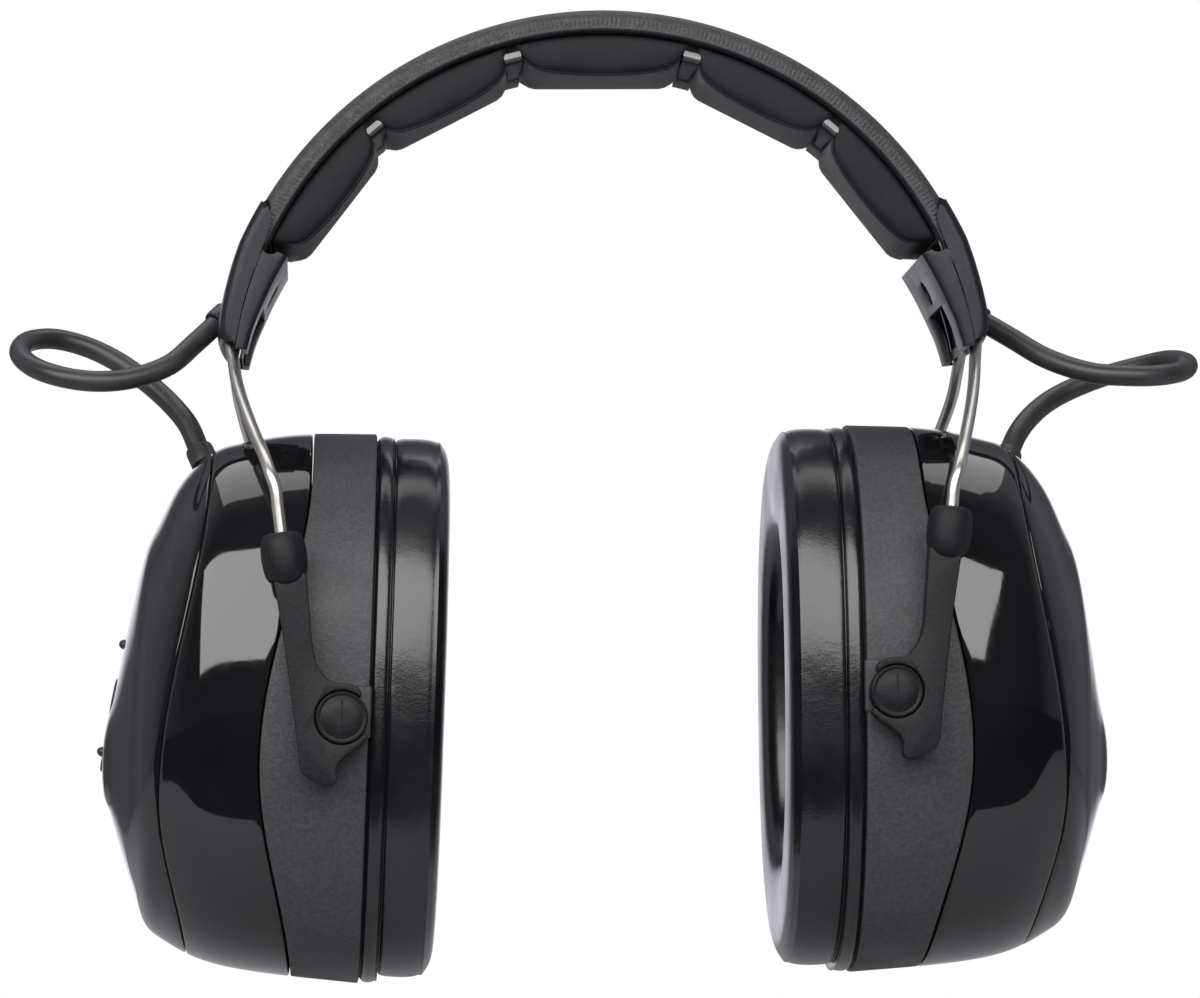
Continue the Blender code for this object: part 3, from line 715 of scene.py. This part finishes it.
def world():
    """White right behind the object, grey at the sides, dark in front. The camera sees plain white."""
    made = bpy.data.worlds.new("studio")
    bpy.context.scene.world = made
    made.use_nodes = True
    nodes, links = made.node_tree.nodes, made.node_tree.links
    rays = nodes.new("ShaderNodeLightPath")
    direction = nodes.new("ShaderNodeTexCoord")
    split = nodes.new("ShaderNodeSeparateXYZ")
    links.new(direction.outputs["Generated"], split.inputs["Vector"])
    share = nodes.new("ShaderNodeMapRange")
    share.inputs["From Min"].default_value = -1.0
    links.new(split.outputs["Y"], share.inputs["Value"])
    ramp = nodes.new("ShaderNodeValToRGB")
    links.new(share.outputs["Result"], ramp.inputs["Fac"])
    stops = ramp.color_ramp.elements
    for place_at, level in WORLD_LEVELS:
        stop = stops.new(place_at)
        stop.color = (0.97 * level, 0.96 * level, 1.06 * level, 1.0)
    stops.remove(stops[0])
    stops.remove(stops[-1])
    mix = nodes.new("ShaderNodeMix")
    mix.data_type = "RGBA"
    links.new(rays.outputs["Is Camera Ray"], mix.inputs["Factor"])
    links.new(ramp.outputs["Color"], mix.inputs["A"])
    mix.inputs["B"].default_value = (1.0, 1.0, 1.0, 1.0)
    links.new(mix.outputs["Result"], nodes["Background"].inputs["Color"])


def lights():
    soft_box("key", (-0.25, -1.09, 0.45), (0, -0.09, -0.23), (2.5, 0.85), 4.6)
    soft_box("top", (0.0, 0.25, 1.1), (0, 0, -0.10), (1.4, 0.9), 1.6)


def cable(side):
    """Two halves of one tube, split at the cable's far turn: the first starts at the end cap, the second
    ends at the cup.
    """
    samples = 6
    path = smooth_points(CABLE_ROUTE[side], samples)
    rings = tube_rings(path, CABLE_RADIUS, 20)
    middle = (CABLE_TURN - 1) * samples
    halves = (
        ("upper", slice(0, middle + 1), "headband", f"arms_{side}"),
        ("lower", slice(middle, None), f"arms_{side}", f"cup_{side}"),
    )
    for name, part, first, second in halves:
        obj = grid_object(f"cable_{name}_{side}", rings[part], caps=(0, -1))
        obj.data.materials.append(RUBBER)
        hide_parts(f"cable_{side}")
        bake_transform(obj)


# Headband


def by_angle(sign, known):
    """A function from degrees to radius on this side."""
    angles, radii = np.array(known).T
    return lambda turns: np.interp(turns if sign > 0 else 180 - turns, angles, radii)


def channel(name, top_r, edge_r, half, angles, corner, crown, steps):
    """An open channel that follows the band: a crowned top, rounded shoulders and two sides. top_r, and
    edge_r where the sides end, are radii or functions from degrees to radius."""
    turns = np.linspace(*angles, steps)
    top_r, end_r = (r(turns) if callable(r) else np.full(steps, r) for r in (top_r, edge_r))
    shoulder = np.linspace(0, math.pi / 2, 7)[:, None]
    across = np.linspace(-1, 1, 15)[:, None]
    share = np.linspace(0, 1, 7)[:-1, None]
    side_top = top_r - corner - crown
    side = end_r + (np.maximum(side_top, end_r) - end_r) * share
    round_r = np.maximum(side_top + corner * np.sin(shoulder), end_r)
    round_y = half - corner + corner * np.cos(shoulder) + 0 * turns
    top = top_r - crown * across**2 + 0 * turns
    top = np.maximum(top, end_r)
    top_y = (half - corner) * across + 0 * turns
    radius = np.concatenate([side, round_r, top[1:-1], round_r[::-1], side[::-1]])
    front = -np.concatenate([np.full_like(side, half), round_y])
    y = np.concatenate([front, top_y[1:-1], -front[::-1]])
    return grid_object(name, arc_points(radius, turns, y), ring=False)


def band_cover():
    cover = channel("band_cover", COVER_R, SKIRT_R, COVER_HALF, COVER_ANGLES, 0.0026, 0.0009, 190)
    solidify(cover, COVER_WALL)
    place(cover, "headband", "leatherette", LEATHERETTE, "headband_cover")
    turns = np.linspace(COVER_ANGLES[0] - 1.5, COVER_ANGLES[1] + 1.5, 160)
    for name, way in WAYS:
        path = arc_points(PIPING_R, turns, way * (COVER_HALF - PIPING_RADIUS))
        piping = tube(f"band_piping_{name}", path, PIPING_RADIUS, 10)
        place(piping, "headband", "leatherette", PAD_LEATHER)


def liner():
    turns = np.linspace(COVER_ANGLES[0] + 0.5, COVER_ANGLES[1] - 0.5, 150)
    across = np.linspace(-1, 1, 9)[:, None] * (COVER_HALF - 0.001)
    lower = arc_points(LINER_R[0] + 0 * across, turns, across + 0 * turns)
    sheet = grid_object("band_liner", lower, ring=False)
    solidify(sheet, LINER_R[1] - LINER_R[0], 1.0)
    place(sheet, "headband", "pad_fabric", PAD_LEATHER, "headband_liner")


def rounded_block(cuts, half, radius):
    """Points of a finely divided block of this half size, with rounded edges, and its faces."""
    bm = bmesh.new()
    bmesh.ops.create_cube(bm, size=2)
    bmesh.ops.subdivide_edges(bm, edges=bm.edges, cuts=cuts, use_grid_fill=True)
    bm.verts.index_update()
    even = np.array([v.co for v in bm.verts])
    faces = [tuple(v.index for v in f.verts) for f in bm.faces]
    bm.free()
    half = np.array(half)
    points = (1.5 * even - 0.5 * even**3) * half
    core = np.clip(points, radius - half, half - radius)
    out = points - core
    size = np.linalg.norm(out, axis=1)[:, None]
    return core + out * np.where(size > 1e-9, radius / np.maximum(size, 1e-9), 0.0), faces


PAD_DEEP = PAD_TOP_R - PAD_DEPTH_R


def pad_place(number, along, y, down):
    """Points of a pad: metres along the band, metres back, and the share of the way down."""
    low, high = PAD_EDGES[number] + PAD_GAP, PAD_EDGES[number + 1] - PAD_GAP
    middle, half_angle = math.radians((low + high) / 2), math.radians((high - low) / 2)
    end = np.abs(along) / (PAD_TOP_R * math.sin(half_angle))
    forward = np.clip((0.3 - y / PAD_HALF) / 1.3, 0, 1)
    backward = np.clip((y + 0.004) / 0.019, 0, 1)
    lift = 0.0026 * np.clip((end - 0.76) / 0.24, 0, 1) ** 1.7
    lift = lift + 0.0027 * end**2.6 * forward**2 + 0.0026 * backward**2
    down = np.clip((down - 0.12) / 0.88, 0, 1)
    w = along * (1 - 0.07 * down**2)
    top = np.sqrt(PAD_TOP_R**2 - w**2)
    radial = top + (PAD_DEPTH_R + lift - top) * down
    swell = 0.0005 * np.sign(y) * np.sin(np.pi * down) * (1 - end**4) * (np.abs(y) / PAD_HALF) ** 3
    y = y * (1 - 0.045 * end**4 * down) + swell
    outward = np.array((math.cos(middle), 0, math.sin(middle)))
    sideways = np.array((-math.sin(middle), 0, math.cos(middle)))
    centre = np.array((0, 0, CENTRE_Z))
    return centre + outward * radial[:, None] + sideways * w[:, None] + np.array((0, 1, 0)) * y[:, None]


def pad_half_length(number):
    half_angle = (PAD_EDGES[number + 1] - PAD_EDGES[number]) / 2 - PAD_GAP
    return PAD_TOP_R * math.sin(math.radians(half_angle))


def head_pad(number):
    """One sewn pad: leatherette sides that rise at the ends, and a knitted underside inside a seam."""
    half = (pad_half_length(number), PAD_HALF - 0.0006, PAD_DEEP / 2)
    seam = (half[0] - 0.0012, half[1] - 0.0006)
    points, faces = rounded_block(26, half, 0.0016)
    down = 0.5 - points[:, 2] / PAD_DEEP
    mesh = bpy.data.meshes.new(f"pad_{number + 1}")
    mesh.from_pydata(pad_place(number, points[:, 0], points[:, 1], down).tolist(), [], faces)
    mesh.materials.append(PAD_LEATHER)
    mesh.materials.append(PAD_MESH)
    for polygon, face in zip(mesh.polygons, faces):
        x, y, z = points[list(face)].mean(axis=0)
        inside = z < 0.0009 - PAD_DEEP / 2 and abs(x) < seam[0] and abs(y) < seam[1]
        polygon.material_index = int(inside)
    mesh.shade_smooth()
    obj = add_object(f"pad_{number + 1}", mesh)
    tidy_mesh(mesh, 60)
    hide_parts(f"head_pad_{number + 1}")
    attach(obj, "headband")
    for name, way in WAYS:
        along = np.linspace(-seam[0], seam[0], 40)
        path = pad_place(number, along, np.full(40, way * seam[1]), np.full(40, 0.965))
        bead = tube(f"pad_bead_{name}_{number + 1}", path, 0.00028, 8)
        place(bead, "headband", "pad_fabric", PAD_LEATHER)


def pad_webs():
    """Where two pads meet, their cover is pressed together: a glossy crease in front and a fold behind."""
    neck = ((-0.0142, 0.0728), (-0.0145, 0.0722), (-0.0148, 0.0715))
    crease = ((-0.0148, 0.0715), (-0.0150, 0.0706), (-0.0148, 0.0703))
    fold = (
        (-0.0148, 0.0703), (-0.0120, 0.0701), (0.0020, 0.0699), (0.0040, 0.0696), (0.0090, 0.0696),
        (0.0145, 0.0701), (0.0154, 0.0727),
    )
    parts = (("neck", neck, PAD_LEATHER), ("crease", crease, WEB_VINYL), ("fold", fold, PAD_LEATHER))
    for number, middle in enumerate(PAD_EDGES[1:-1], 1):
        turns = np.linspace(middle - 1.4, middle + 1.4, 9)
        for name, outline, finish in parts:
            rows = [arc_points(r, turns, y) for y, r in smooth_points(outline, 4)]
            web = grid_object(f"pad_web_{name}_{number}", rows, ring=False)
            solidify(web, 0.0008, 1.0)
            place(web, "headband", "pad_fabric", finish)


# End caps, wires and arms


def cable_mouth(side, at_cap):
    """Where the cable enters the end cap or the cup, and the way in."""
    route = np.array(CABLE_ROUTE[side])
    mouth, before = (route[0], route[1]) if at_cap else (route[-1], route[-2])
    return mouth, mouth - before


def cable_hole(side, at_cap):
    mouth, inward = cable_mouth(side, at_cap)
    start = mouth - inward / np.linalg.norm(inward) * 0.004
    return turned("cable_hole", start, inward, ((0, CABLE_HOLE), (0.0112, CABLE_HOLE)), 32)


def end_cap(side, sign):
    """The outer moulding: its crown leaves the band's arc below, and its sides end in a rounded tongue."""
    crown, edge = by_angle(sign, CAP_CROWN), by_angle(sign, CAP_EDGE)
    angles = mirrored(sign, CAP_ANGLES)
    cap = channel(f"cap_shell_{side}", crown, edge, CAP_HALF, angles, 0.0020, 0.0008, 70)
    solidify(cap, CAP_WALL)
    cut(cap, [cable_hole(side, True)])
    bevel(cap, 0.0003, 2)
    place(cap, "headband", "matt_plastic", CAP_PLASTIC, f"end_cap_{side}")
    bracket(side, sign)


def bracket(side, sign):
    """A channel whose plate faces the head, with a notch at its top, a hole and an arch."""
    half, corner = CAP_HALF - 0.0002, 0.0012
    inside = half - BRACKET_WALL
    bend = np.linspace(0, math.pi / 2, 6)
    outer = np.stack([half - corner + corner * np.cos(bend), corner - corner * np.sin(bend)], axis=1)
    right = [(half, BRACKET_DEPTH), *outer.tolist(), (half * 0.5, 0.0), (0.0, 0.0)]
    under = [(0.0, BRACKET_WALL), (inside, BRACKET_WALL), (inside, BRACKET_DEPTH)]
    left = [(-y, r) for y, r in right[-2::-1]]
    over = [(-y, r) for y, r in under[:0:-1]]
    across, rise = np.array(right + left + over + under).T
    plate = by_angle(sign, BRACKET_PLATE)
    rows = []
    for turn in np.linspace(*mirrored(sign, BRACKET_ANGLES), 40):
        radius = np.where(rise < BRACKET_DEPTH / 2, plate(turn) + rise, BRACKET_TOP_R)
        rows.append(arc_points(radius, turn, across))
    shell = grid_object(f"bracket_{side}", rows, caps=(0, -1))
    cut(shell, [bracket_notch(sign), bracket_hole(sign), bracket_arch(sign)])
    bevel(shell, 0.00035, 2)
    place(shell, "headband", "matt_plastic", CAP_PLASTIC, f"wire_bracket_{side}")


def bracket_notch(sign):
    x, z = on_arc(0.0727, 25.0)
    return turned("bracket_notch", (sign * x, -0.03, z), (0, 1, 0), ((0, 0.0019), (0.06, 0.0019)), 32)


def bracket_hole(sign):
    x, z = on_arc(0.066, 19.2)
    outward = (sign * x, 0, z - CENTRE_Z)
    return turned("bracket_hole", (sign * x, 0, z), outward, ((0, 0.0026), (0.0075, 0.0026)))


def bracket_arch(sign):
    low, high = mirrored(sign, (5.0, 16.0))
    turns = np.linspace(low, high, 24)
    inner, outer = arc_points(0.066, turns, 0.0), arc_points(0.0725, turns, 0.0)
    outline = np.concatenate([outer, inner[::-1]])[:, (0, 2)]
    arch = outline_object("bracket_arch", outline, -0.0105, 0.0105)
    return bevel(arch, 0.0035, 5, 60)


def gland(side, at_cap):
    """A short rubber grommet round the cable, with a rounded lip. The one at the cap is sunk a little."""
    part, body, sunk = ("cap", "headband", 0.0006) if at_cap else ("cup", f"cup_{side}", 0.0)
    mouth, inward = cable_mouth(side, at_cap)
    lip = ((sunk + 0.0002, 0.00005), (sunk - 0.0002, 0.0003), (sunk, 0.0006), (sunk + 0.0006, 0.0007))
    profile = [(way, CABLE_RADIUS + rise) for way, rise in (*lip, (0.0040, 0.0007), (0.0042, 0.00005))]
    piece = turned(f"gland_{part}_{side}", mouth, inward, profile, 40)
    place(piece, body, "rubber", RUBBER, f"{part}_gland_{side}")


def spring_wires():
    end_x = PIVOT_X + WIRE_OFFSET
    arc = arc_points(WIRE_R, np.linspace(90, 9.5, 60), WIRE_HALF_GAP)
    heights = (FERRULE_TOP + 0.0064, 0.038, FERRULE_TOP - INSERTED)
    straight = [(end_x + h * WIRE_LEAN, ARM_Y, PIVOT_Z + h) for h in heights]
    spread = [
        arc[-1],
        (0.0733, 0.0155, -0.0572), (0.0728, 0.0181, -0.0606), (0.0718, 0.0230, -0.0647),
        (0.0703, 0.0296, -0.0695), (0.0687, 0.0361, -0.0740), (0.0673, 0.0420, -0.0777),
        (0.0662, 0.0455, -0.0812), *straight[:2],
    ]
    half = np.concatenate([arc[:-1], smooth_points(spread, 6), [straight[2]]])
    for name, way in WAYS:
        right = half * (1, way, 1)
        left = right[:0:-1] * (-1, 1, 1)
        wire = tube(f"wire_{name}", np.concatenate([left, right]), WIRE_RADIUS, 20)
        place(wire, "headband", "steel", STEEL, f"spring_wire_{name}")


def ring_arc(radius, start, end, count):
    turns = np.radians(np.linspace(start, end, count))
    return np.stack([radius * np.cos(turns), radius * np.sin(turns)], axis=1)


def arm_outline():
    """The flat shape of a left arm about its pivot, x towards the cushion: bar, tail and open ring."""
    right_edge = smooth_points(
        [(-0.0066, 0.0275), (-0.0060, 0.0205), (-0.0055, 0.0140), (-0.0045, 0.0098), (-0.0026, 0.0072)], 4
    )
    tail = smooth_points(
        [
            (0.0032, -0.0056), (0.0010, -0.0071), (-0.0006, -0.0087), (-0.0011, -0.0102),
            (-0.0010, -0.0118), (-0.0016, -0.0127), (-0.0030, -0.0129), (-0.0052, -0.0119),
            (-0.0077, -0.0103), (-0.0084, -0.0060), (-0.0089, -0.0014), (-0.0103, 0.0097),
            (-0.0113, 0.0170), (-0.0130, 0.0275),
        ],
        4,
    )
    ring = (
        (RING_RADIUS, 98, 62, 8),
        (RING_RADIUS - 0.0005, 53, 53, 1),
        (RING_HOLE + 0.0002, 46, 46, 1),
        (RING_HOLE, 50, 322, 44),
        (RING_HOLE + 0.0004, -35, -35, 1),
        (RING_RADIUS - 0.0003, -40, -46, 2),
    )
    return np.concatenate([right_edge, *(ring_arc(*arc) for arc in ring), tail])


def arm(side, sign, way, name):
    """A flat moulding with a ring round the stud, and a turned ferrule on the wire."""
    origin = pivot(side)
    outline = arm_outline() * (-sign, 1) + origin[[0, 2]]
    low, high = sorted((way * (ARM_Y - ARM_HALF), way * (ARM_Y + ARM_HALF)))
    bar = outline_object("bar", outline, low, high)
    bevel(bar, 0.0005, 3, 60)

    def on_wire(height):
        return origin + np.array((sign * (WIRE_OFFSET + height * WIRE_LEAN), way * ARM_Y, height))

    start, end = on_wire(FERRULE_TOP - FERRULE_LENGTH), on_wire(FERRULE_TOP)
    length = float(np.linalg.norm(end - start))
    profile = smooth_points(
        [
            (-0.0010, 0.0022), (-0.0003, 0.0032), (0.0007, 0.0039), (0.0026, 0.0043), (0.0052, 0.0044),
            (0.0074, 0.0041), (0.0086, 0.0036), (length - 0.0001, 0.0029), (length, 0.0022),
            (length - 0.0002, 0.0015),
        ],
        4,
    )
    ferrule = turned("ferrule", start, end - start, profile, 40)
    piece = join(f"arm_{name}_{side}_moulding", [bar, ferrule])
    place(piece, f"arms_{side}", "matt_plastic", ARM_PLASTIC, f"arm_{name}_{side}")


def stud(side, way, name):
    """A round stud with a low rim, a shallow dome and a mould line across it. Its profile is pairs of height
    and distance in from the edge."""
    centre = pivot(side)
    start = centre + np.array((0, way * (STUD_PAD_Y + GAP), 0))
    rim = ((0.0, 0.0008), (0.0, 0.0), (0.0048, 0.0), (0.0052, 0.0001), (0.0054, 0.0004))
    dome = ((0.0052, 0.0009), (0.0054, 0.0014), (0.0057, 0.0020), (0.0058, 0.0035), (0.0058, 0.0048))
    profile = [(height, STUD_RADIUS - inset) for height, inset in rim + dome]
    disc = turned("disc", start, (0, way, 0), profile, 64)
    line_y = start[1] + way * (dome[-1][0] - 0.00008)
    heights = centre[2] + np.linspace(-0.0033, 0.0033, 9)
    ridge = tube("ridge", [(centre[0], line_y, height) for height in heights], 0.00016, 8)
    piece = join(f"stud_{name}_{side}", [disc, ridge])
    place(piece, f"cup_{side}", "matt_plastic", ARM_PLASTIC, f"pivot_stud_{name}_{side}")


# Ear cups

TURNS = np.linspace(0, 2 * math.pi, 200, endpoint=False)
PACE = 0.05  # in stations
# The rounded rim of a shell: metres along the skin, and metres below it.
RIM = ((0.0, 0.0006), (0.00005, 0.00025), (0.00018, 0.00007), (0.0004, 0.0))


def station(s):
    """(u, top, bottom, half width) at a place along the cup, counted in stations."""
    s = np.asarray(s, float)
    last = len(CUP_STATIONS) - 1
    i = np.clip(s.astype(int), 0, last - 1)
    t = (s - i)[..., None]
    table = with_ends(CUP_STATIONS)
    return np.moveaxis(catmull_rom(table[i], table[i + 1], table[i + 2], table[i + 3], t), -1, 0)


def oval(turns, height, half, middle=0.0):
    y = half * signed_power(np.cos(turns), OVAL_POWER)
    z = middle + height * signed_power(np.sin(turns), OVAL_POWER)
    return y, z


def skin_point(side, s, turns):
    u, top, bottom, half = station(s)
    y, z = oval(turns, (top + bottom) / 2, half, (top - bottom) / 2)
    return cup_world(side, u, y, z)


def skin_normal(side, s, turns):
    along = skin_point(side, s + 0.04, turns) - skin_point(side, s - 0.04, turns)
    across = skin_point(side, s, turns + 0.02) - skin_point(side, s, turns - 0.02)
    normal = np.cross(across, along) * SIDES[side]
    return normal / np.maximum(np.linalg.norm(normal, axis=-1, keepdims=True), 1e-12)


def parting(z, peak_u, peak_z, rise, fall):
    drop = np.where(z > peak_z, rise[0], fall[0])
    span = np.where(z > peak_z, rise[1], fall[1])
    share = np.minimum(1.0, np.abs(z - peak_z) / span)
    return peak_u - drop * np.sin(math.pi / 2 * share) ** 2


def base_edge(z):
    return parting(z, 0.0354, -0.012, (0.0082, 0.057), (0.0076, 0.048))


def case_edge(z):
    return parting(z, 0.0546, -0.019, (0.0076, 0.063), (0.0062, 0.036))


def edge_station(edge):
    """Where each ray round the cup meets a parting line."""
    low, high = np.zeros_like(TURNS), np.full_like(TURNS, len(CUP_STATIONS) - 2.0)
    for _ in range(30):
        middle = (low + high) / 2
        u, top, bottom, half = station(middle)
        z = oval(TURNS, (top + bottom) / 2, half, (top - bottom) / 2)[1]
        beyond = u > edge(z)
        high = np.where(beyond, middle, high)
        low = np.where(beyond, low, middle)
    return (low + high) / 2


def pace(side, s):
    """Metres of skin per station, measured over the next PACE of a station."""
    return np.linalg.norm(skin_point(side, s + PACE, TURNS) - skin_point(side, s, TURNS), axis=-1) / PACE


def sunk_row(side, s, depth):
    return skin_point(side, s, TURNS) - skin_normal(side, s, TURNS) * depth


def skin_rows(side, s_low, s_high, steps):
    """Outer and inner rows of a shell, with small rounded rims."""
    length = pace(side, s_low)
    top_length = np.maximum(pace(side, s_high - PACE), 1e-4)
    rows = [sunk_row(side, s_low + shift / length, depth) for shift, depth in RIM]
    inner_low, inner_high = s_low + RIM[-1][0] / length, s_high - RIM[-1][0] / top_length
    for share in np.linspace(0, 1, steps + 1)[1:-1]:
        rows.append(skin_point(side, inner_low + (inner_high - inner_low) * share, TURNS))
    rows += [sunk_row(side, s_high - shift / top_length, depth) for shift, depth in RIM[::-1]]
    inside = [sunk_row(side, s_low + (s_high - s_low) * share, WALL) for share in np.linspace(1, 0, 7)]
    return rows, inside


def beside(side, edge, shift):
    """The stations a little way off a parting line, in metres along the skin."""
    s = edge_station(edge)
    return s + shift / pace(side, s)


def cup_base(side):
    end = beside(side, base_edge, -GAP / 2)
    rows, inside = skin_rows(side, np.full_like(TURNS, BASE_START), end, 22)
    base = grid_object(f"base_shell_{side}", rows + inside, loop=True)
    place(base, f"cup_{side}", "matt_plastic", MATT, f"cup_base_{side}")
    for name, way in WAYS:
        stud_pad(side, way, name)
        stud(side, way, name)


def stud_pad(side, way, name):
    """The raised pad on the base that carries the stud."""
    us = np.array((0.0142, 0.0262, 0.0262, 0.0142))
    zs = np.array((-0.0036, -0.0036, 0.0064, 0.0064)) + PIVOT_IN_CUP[SIDES[side]]
    rows = [cup_world(side, us, way * y, zs) for y in (0.0405, STUD_PAD_Y)]
    pad = grid_object(f"stud_pad_{name}_{side}", rows, caps=(0, -1))
    bevel(pad, 0.0005, 3)
    place(pad, f"cup_{side}", "matt_plastic", MATT)


def cup_case(side):
    start, end = beside(side, base_edge, GAP / 2), beside(side, case_edge, -GAP / 2)
    rows, inside = skin_rows(side, start, end, 30)
    case = grid_object(f"case_shell_{side}", rows + inside, loop=True)
    cut(case, [cable_hole(side, False)])
    place(case, f"cup_{side}", "gloss_plastic", GLOSS, f"cup_case_{side}")


def cup_cover(side):
    """The outer cover. Its skin closes at a small cap near the last station, so its far rim is left off."""
    tip = np.full_like(TURNS, len(CUP_STATIONS) - 1.03)
    rows, inside = skin_rows(side, beside(side, case_edge, GAP / 2), tip, 34)
    cover = grid_object(f"cover_shell_{side}", inside[1:] + rows[:-3], caps=(0, -1))
    cutters = [cable_hole(side, False)]
    if side == "left":
        cutters += [button_hole(name) for name in BUTTONS]
    cut(cover, cutters)
    body = "battery_lid" if side == "right" else "cup_left"
    place(cover, body, "gloss_plastic", GLOSS, f"cup_cover_{side}")


def cup_oval(side, u, height, half, middle=0.0):
    y, z = oval(TURNS, height, half, middle)
    return cup_world(side, u, y, z)


def ear_cushion(side):
    """A vinyl ring: soft round edges, a bead where its two skins are welded, and a neck at the frame."""
    section = smooth_points(
        (
            (0.0120, 0.10), (0.0090, 0.02), (0.0050, 0.00), (0.0022, 0.05), (0.0006, 0.16),
            (0.0000, 0.34), (0.0000, 0.60), (0.0003, 0.78), (0.0010, 0.89), (0.0021, 0.955),
            (0.0037, 0.988), (0.0060, 1.000), (0.0082, 0.999), (0.0096, 0.994), (0.0104, 0.984),
            (0.0107, 0.970), (0.0111, 0.93), (0.0119, 0.60),
        ),
        6,
        closed=True,
    )
    rows = []
    for u, share in section:
        bead = 0.00035 * math.exp(-(((u - 0.0021) / 0.00035) ** 2)) * (share > 0.8)
        height, half = (low + (high - low) * share + bead for low, high in zip(CUSHION_HOLE, CUSHION_SIZE))
        rows.append(cup_oval(side, u, height, half, CUSHION_MIDDLE))
    cushion = grid_object(f"cushion_{side}", rows, loop=True)
    place(cushion, f"cup_{side}", "vinyl", VINYL, f"ear_cushion_{side}")
    neck(side)


def neck(side):
    """The hard ring that clips the cushion to the cup."""
    section = smooth_points(
        (
            (0.0114, 0.0400), (0.0110, 0.0528), (0.0113, 0.0537), (0.0124, 0.0541), (0.0136, 0.0540),
            (0.0143, 0.0533), (0.0145, 0.0520), (0.0146, 0.0400),
        ),
        4,
        closed=True,
    )
    rows = [cup_oval(side, u, height, height - 0.0120) for u, height in section]
    ring = grid_object(f"neck_{side}", rows, loop=True, sharp=50)
    place(ring, f"cup_{side}", "matt_plastic", VINYL, f"cushion_frame_{side}")


def ear_foam(side):
    """A disc of foam behind the cushion, a little dished."""
    back = ((0.0205, 0.02), (0.0205, 0.5), (0.0205, 0.97), (0.0198, 1.0), (0.0160, 1.0))
    rows = [cup_oval(side, u, 0.0470 * share, 0.0350 * share) for u, share in back]
    for share in np.linspace(1, 0, 12):
        u = 0.0150 + 0.0009 * share**3 - 0.0006 * (1 - share**2)
        rows.append(cup_oval(side, u, 0.0005 + 0.0460 * share, 0.0005 + 0.0340 * share))
    pad = grid_object(f"foam_{side}", rows, caps=(0, -1))
    place(pad, f"cup_{side}", "foam", FOAM, f"ear_foam_{side}")


def button_face(name):
    """The middle of a button's face and the way that it points."""
    low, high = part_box(name)
    return (low + high) / 2, -Vector(JOINTS[f"{name}_press"]["axis"]).normalized()


def button_hole(name):
    middle, out = button_face(name)
    return turned("button_hole", middle - out * 0.006, out, ((0, BUTTON_HOLE), (0.012, BUTTON_HOLE)), 48)


def button(name):
    """A round key. The two volume buttons have a raised nib."""
    middle, out = button_face(name)
    nib = name != "button_power"
    face = middle + out * (0.0016 if nib else 0.0023)
    profile = [
        (-0.0045, 0.0032),
        (-0.0045, BUTTON_RADIUS),
        (-0.0002, BUTTON_RADIUS),
        (0.0001, BUTTON_RADIUS - 0.0001),
        (0.0003, BUTTON_RADIUS - 0.0004),
        (0.0001, BUTTON_RADIUS - 0.0012),
        (0.0000, 0.0016),
    ]
    if nib:
        profile += [(0.0002, 0.0011), (0.0010, 0.0009), (0.0014, 0.0006), (0.0016, 0.0002)]
    else:
        profile += [(0.0, 0.0002)]
    key = turned(f"{name}_key", face, out, profile, 48)
    place(key, name, "rubber", RUBBER, name)


# Everything


def dress_cad():
    """CAD nodes that stay are inside the cups and the band: each gets a finish with texture, matt unless
    it is listed."""
    finishes = {
        "crossover_lead": RUBBER,
        "speaker": STEEL,
        "baffle_screw": STEEL,
        "radio_board": BOARD,
        "tuner_module": STEEL,
        "battery_1": CELL,
        "battery_2": CELL,
    }
    for name, obj in frame["nodes"].items():
        if obj.hide_render:
            continue
        material = next((m for key, m in finishes.items() if name.startswith(key)), MATT)
        for slot in obj.material_slots:
            slot.material = material


def main():
    camera()
    stage()
    world()
    lights()
    for side, sign in SIDES.items():
        cable(side)
        end_cap(side, sign)
        gland(side, True)
        gland(side, False)
        for name, way in WAYS:
            arm(side, sign, way, name)
        cup_base(side)
        cup_case(side)
        cup_cover(side)
        ear_cushion(side)
        ear_foam(side)
    for name in BUTTONS:
        button(name)
    band_cover()
    liner()
    pad_webs()
    for number in range(5):
        head_pad(number)
    spring_wires()
    dress_cad()
    bpy.context.scene.view_settings.view_transform = "Standard"


main()
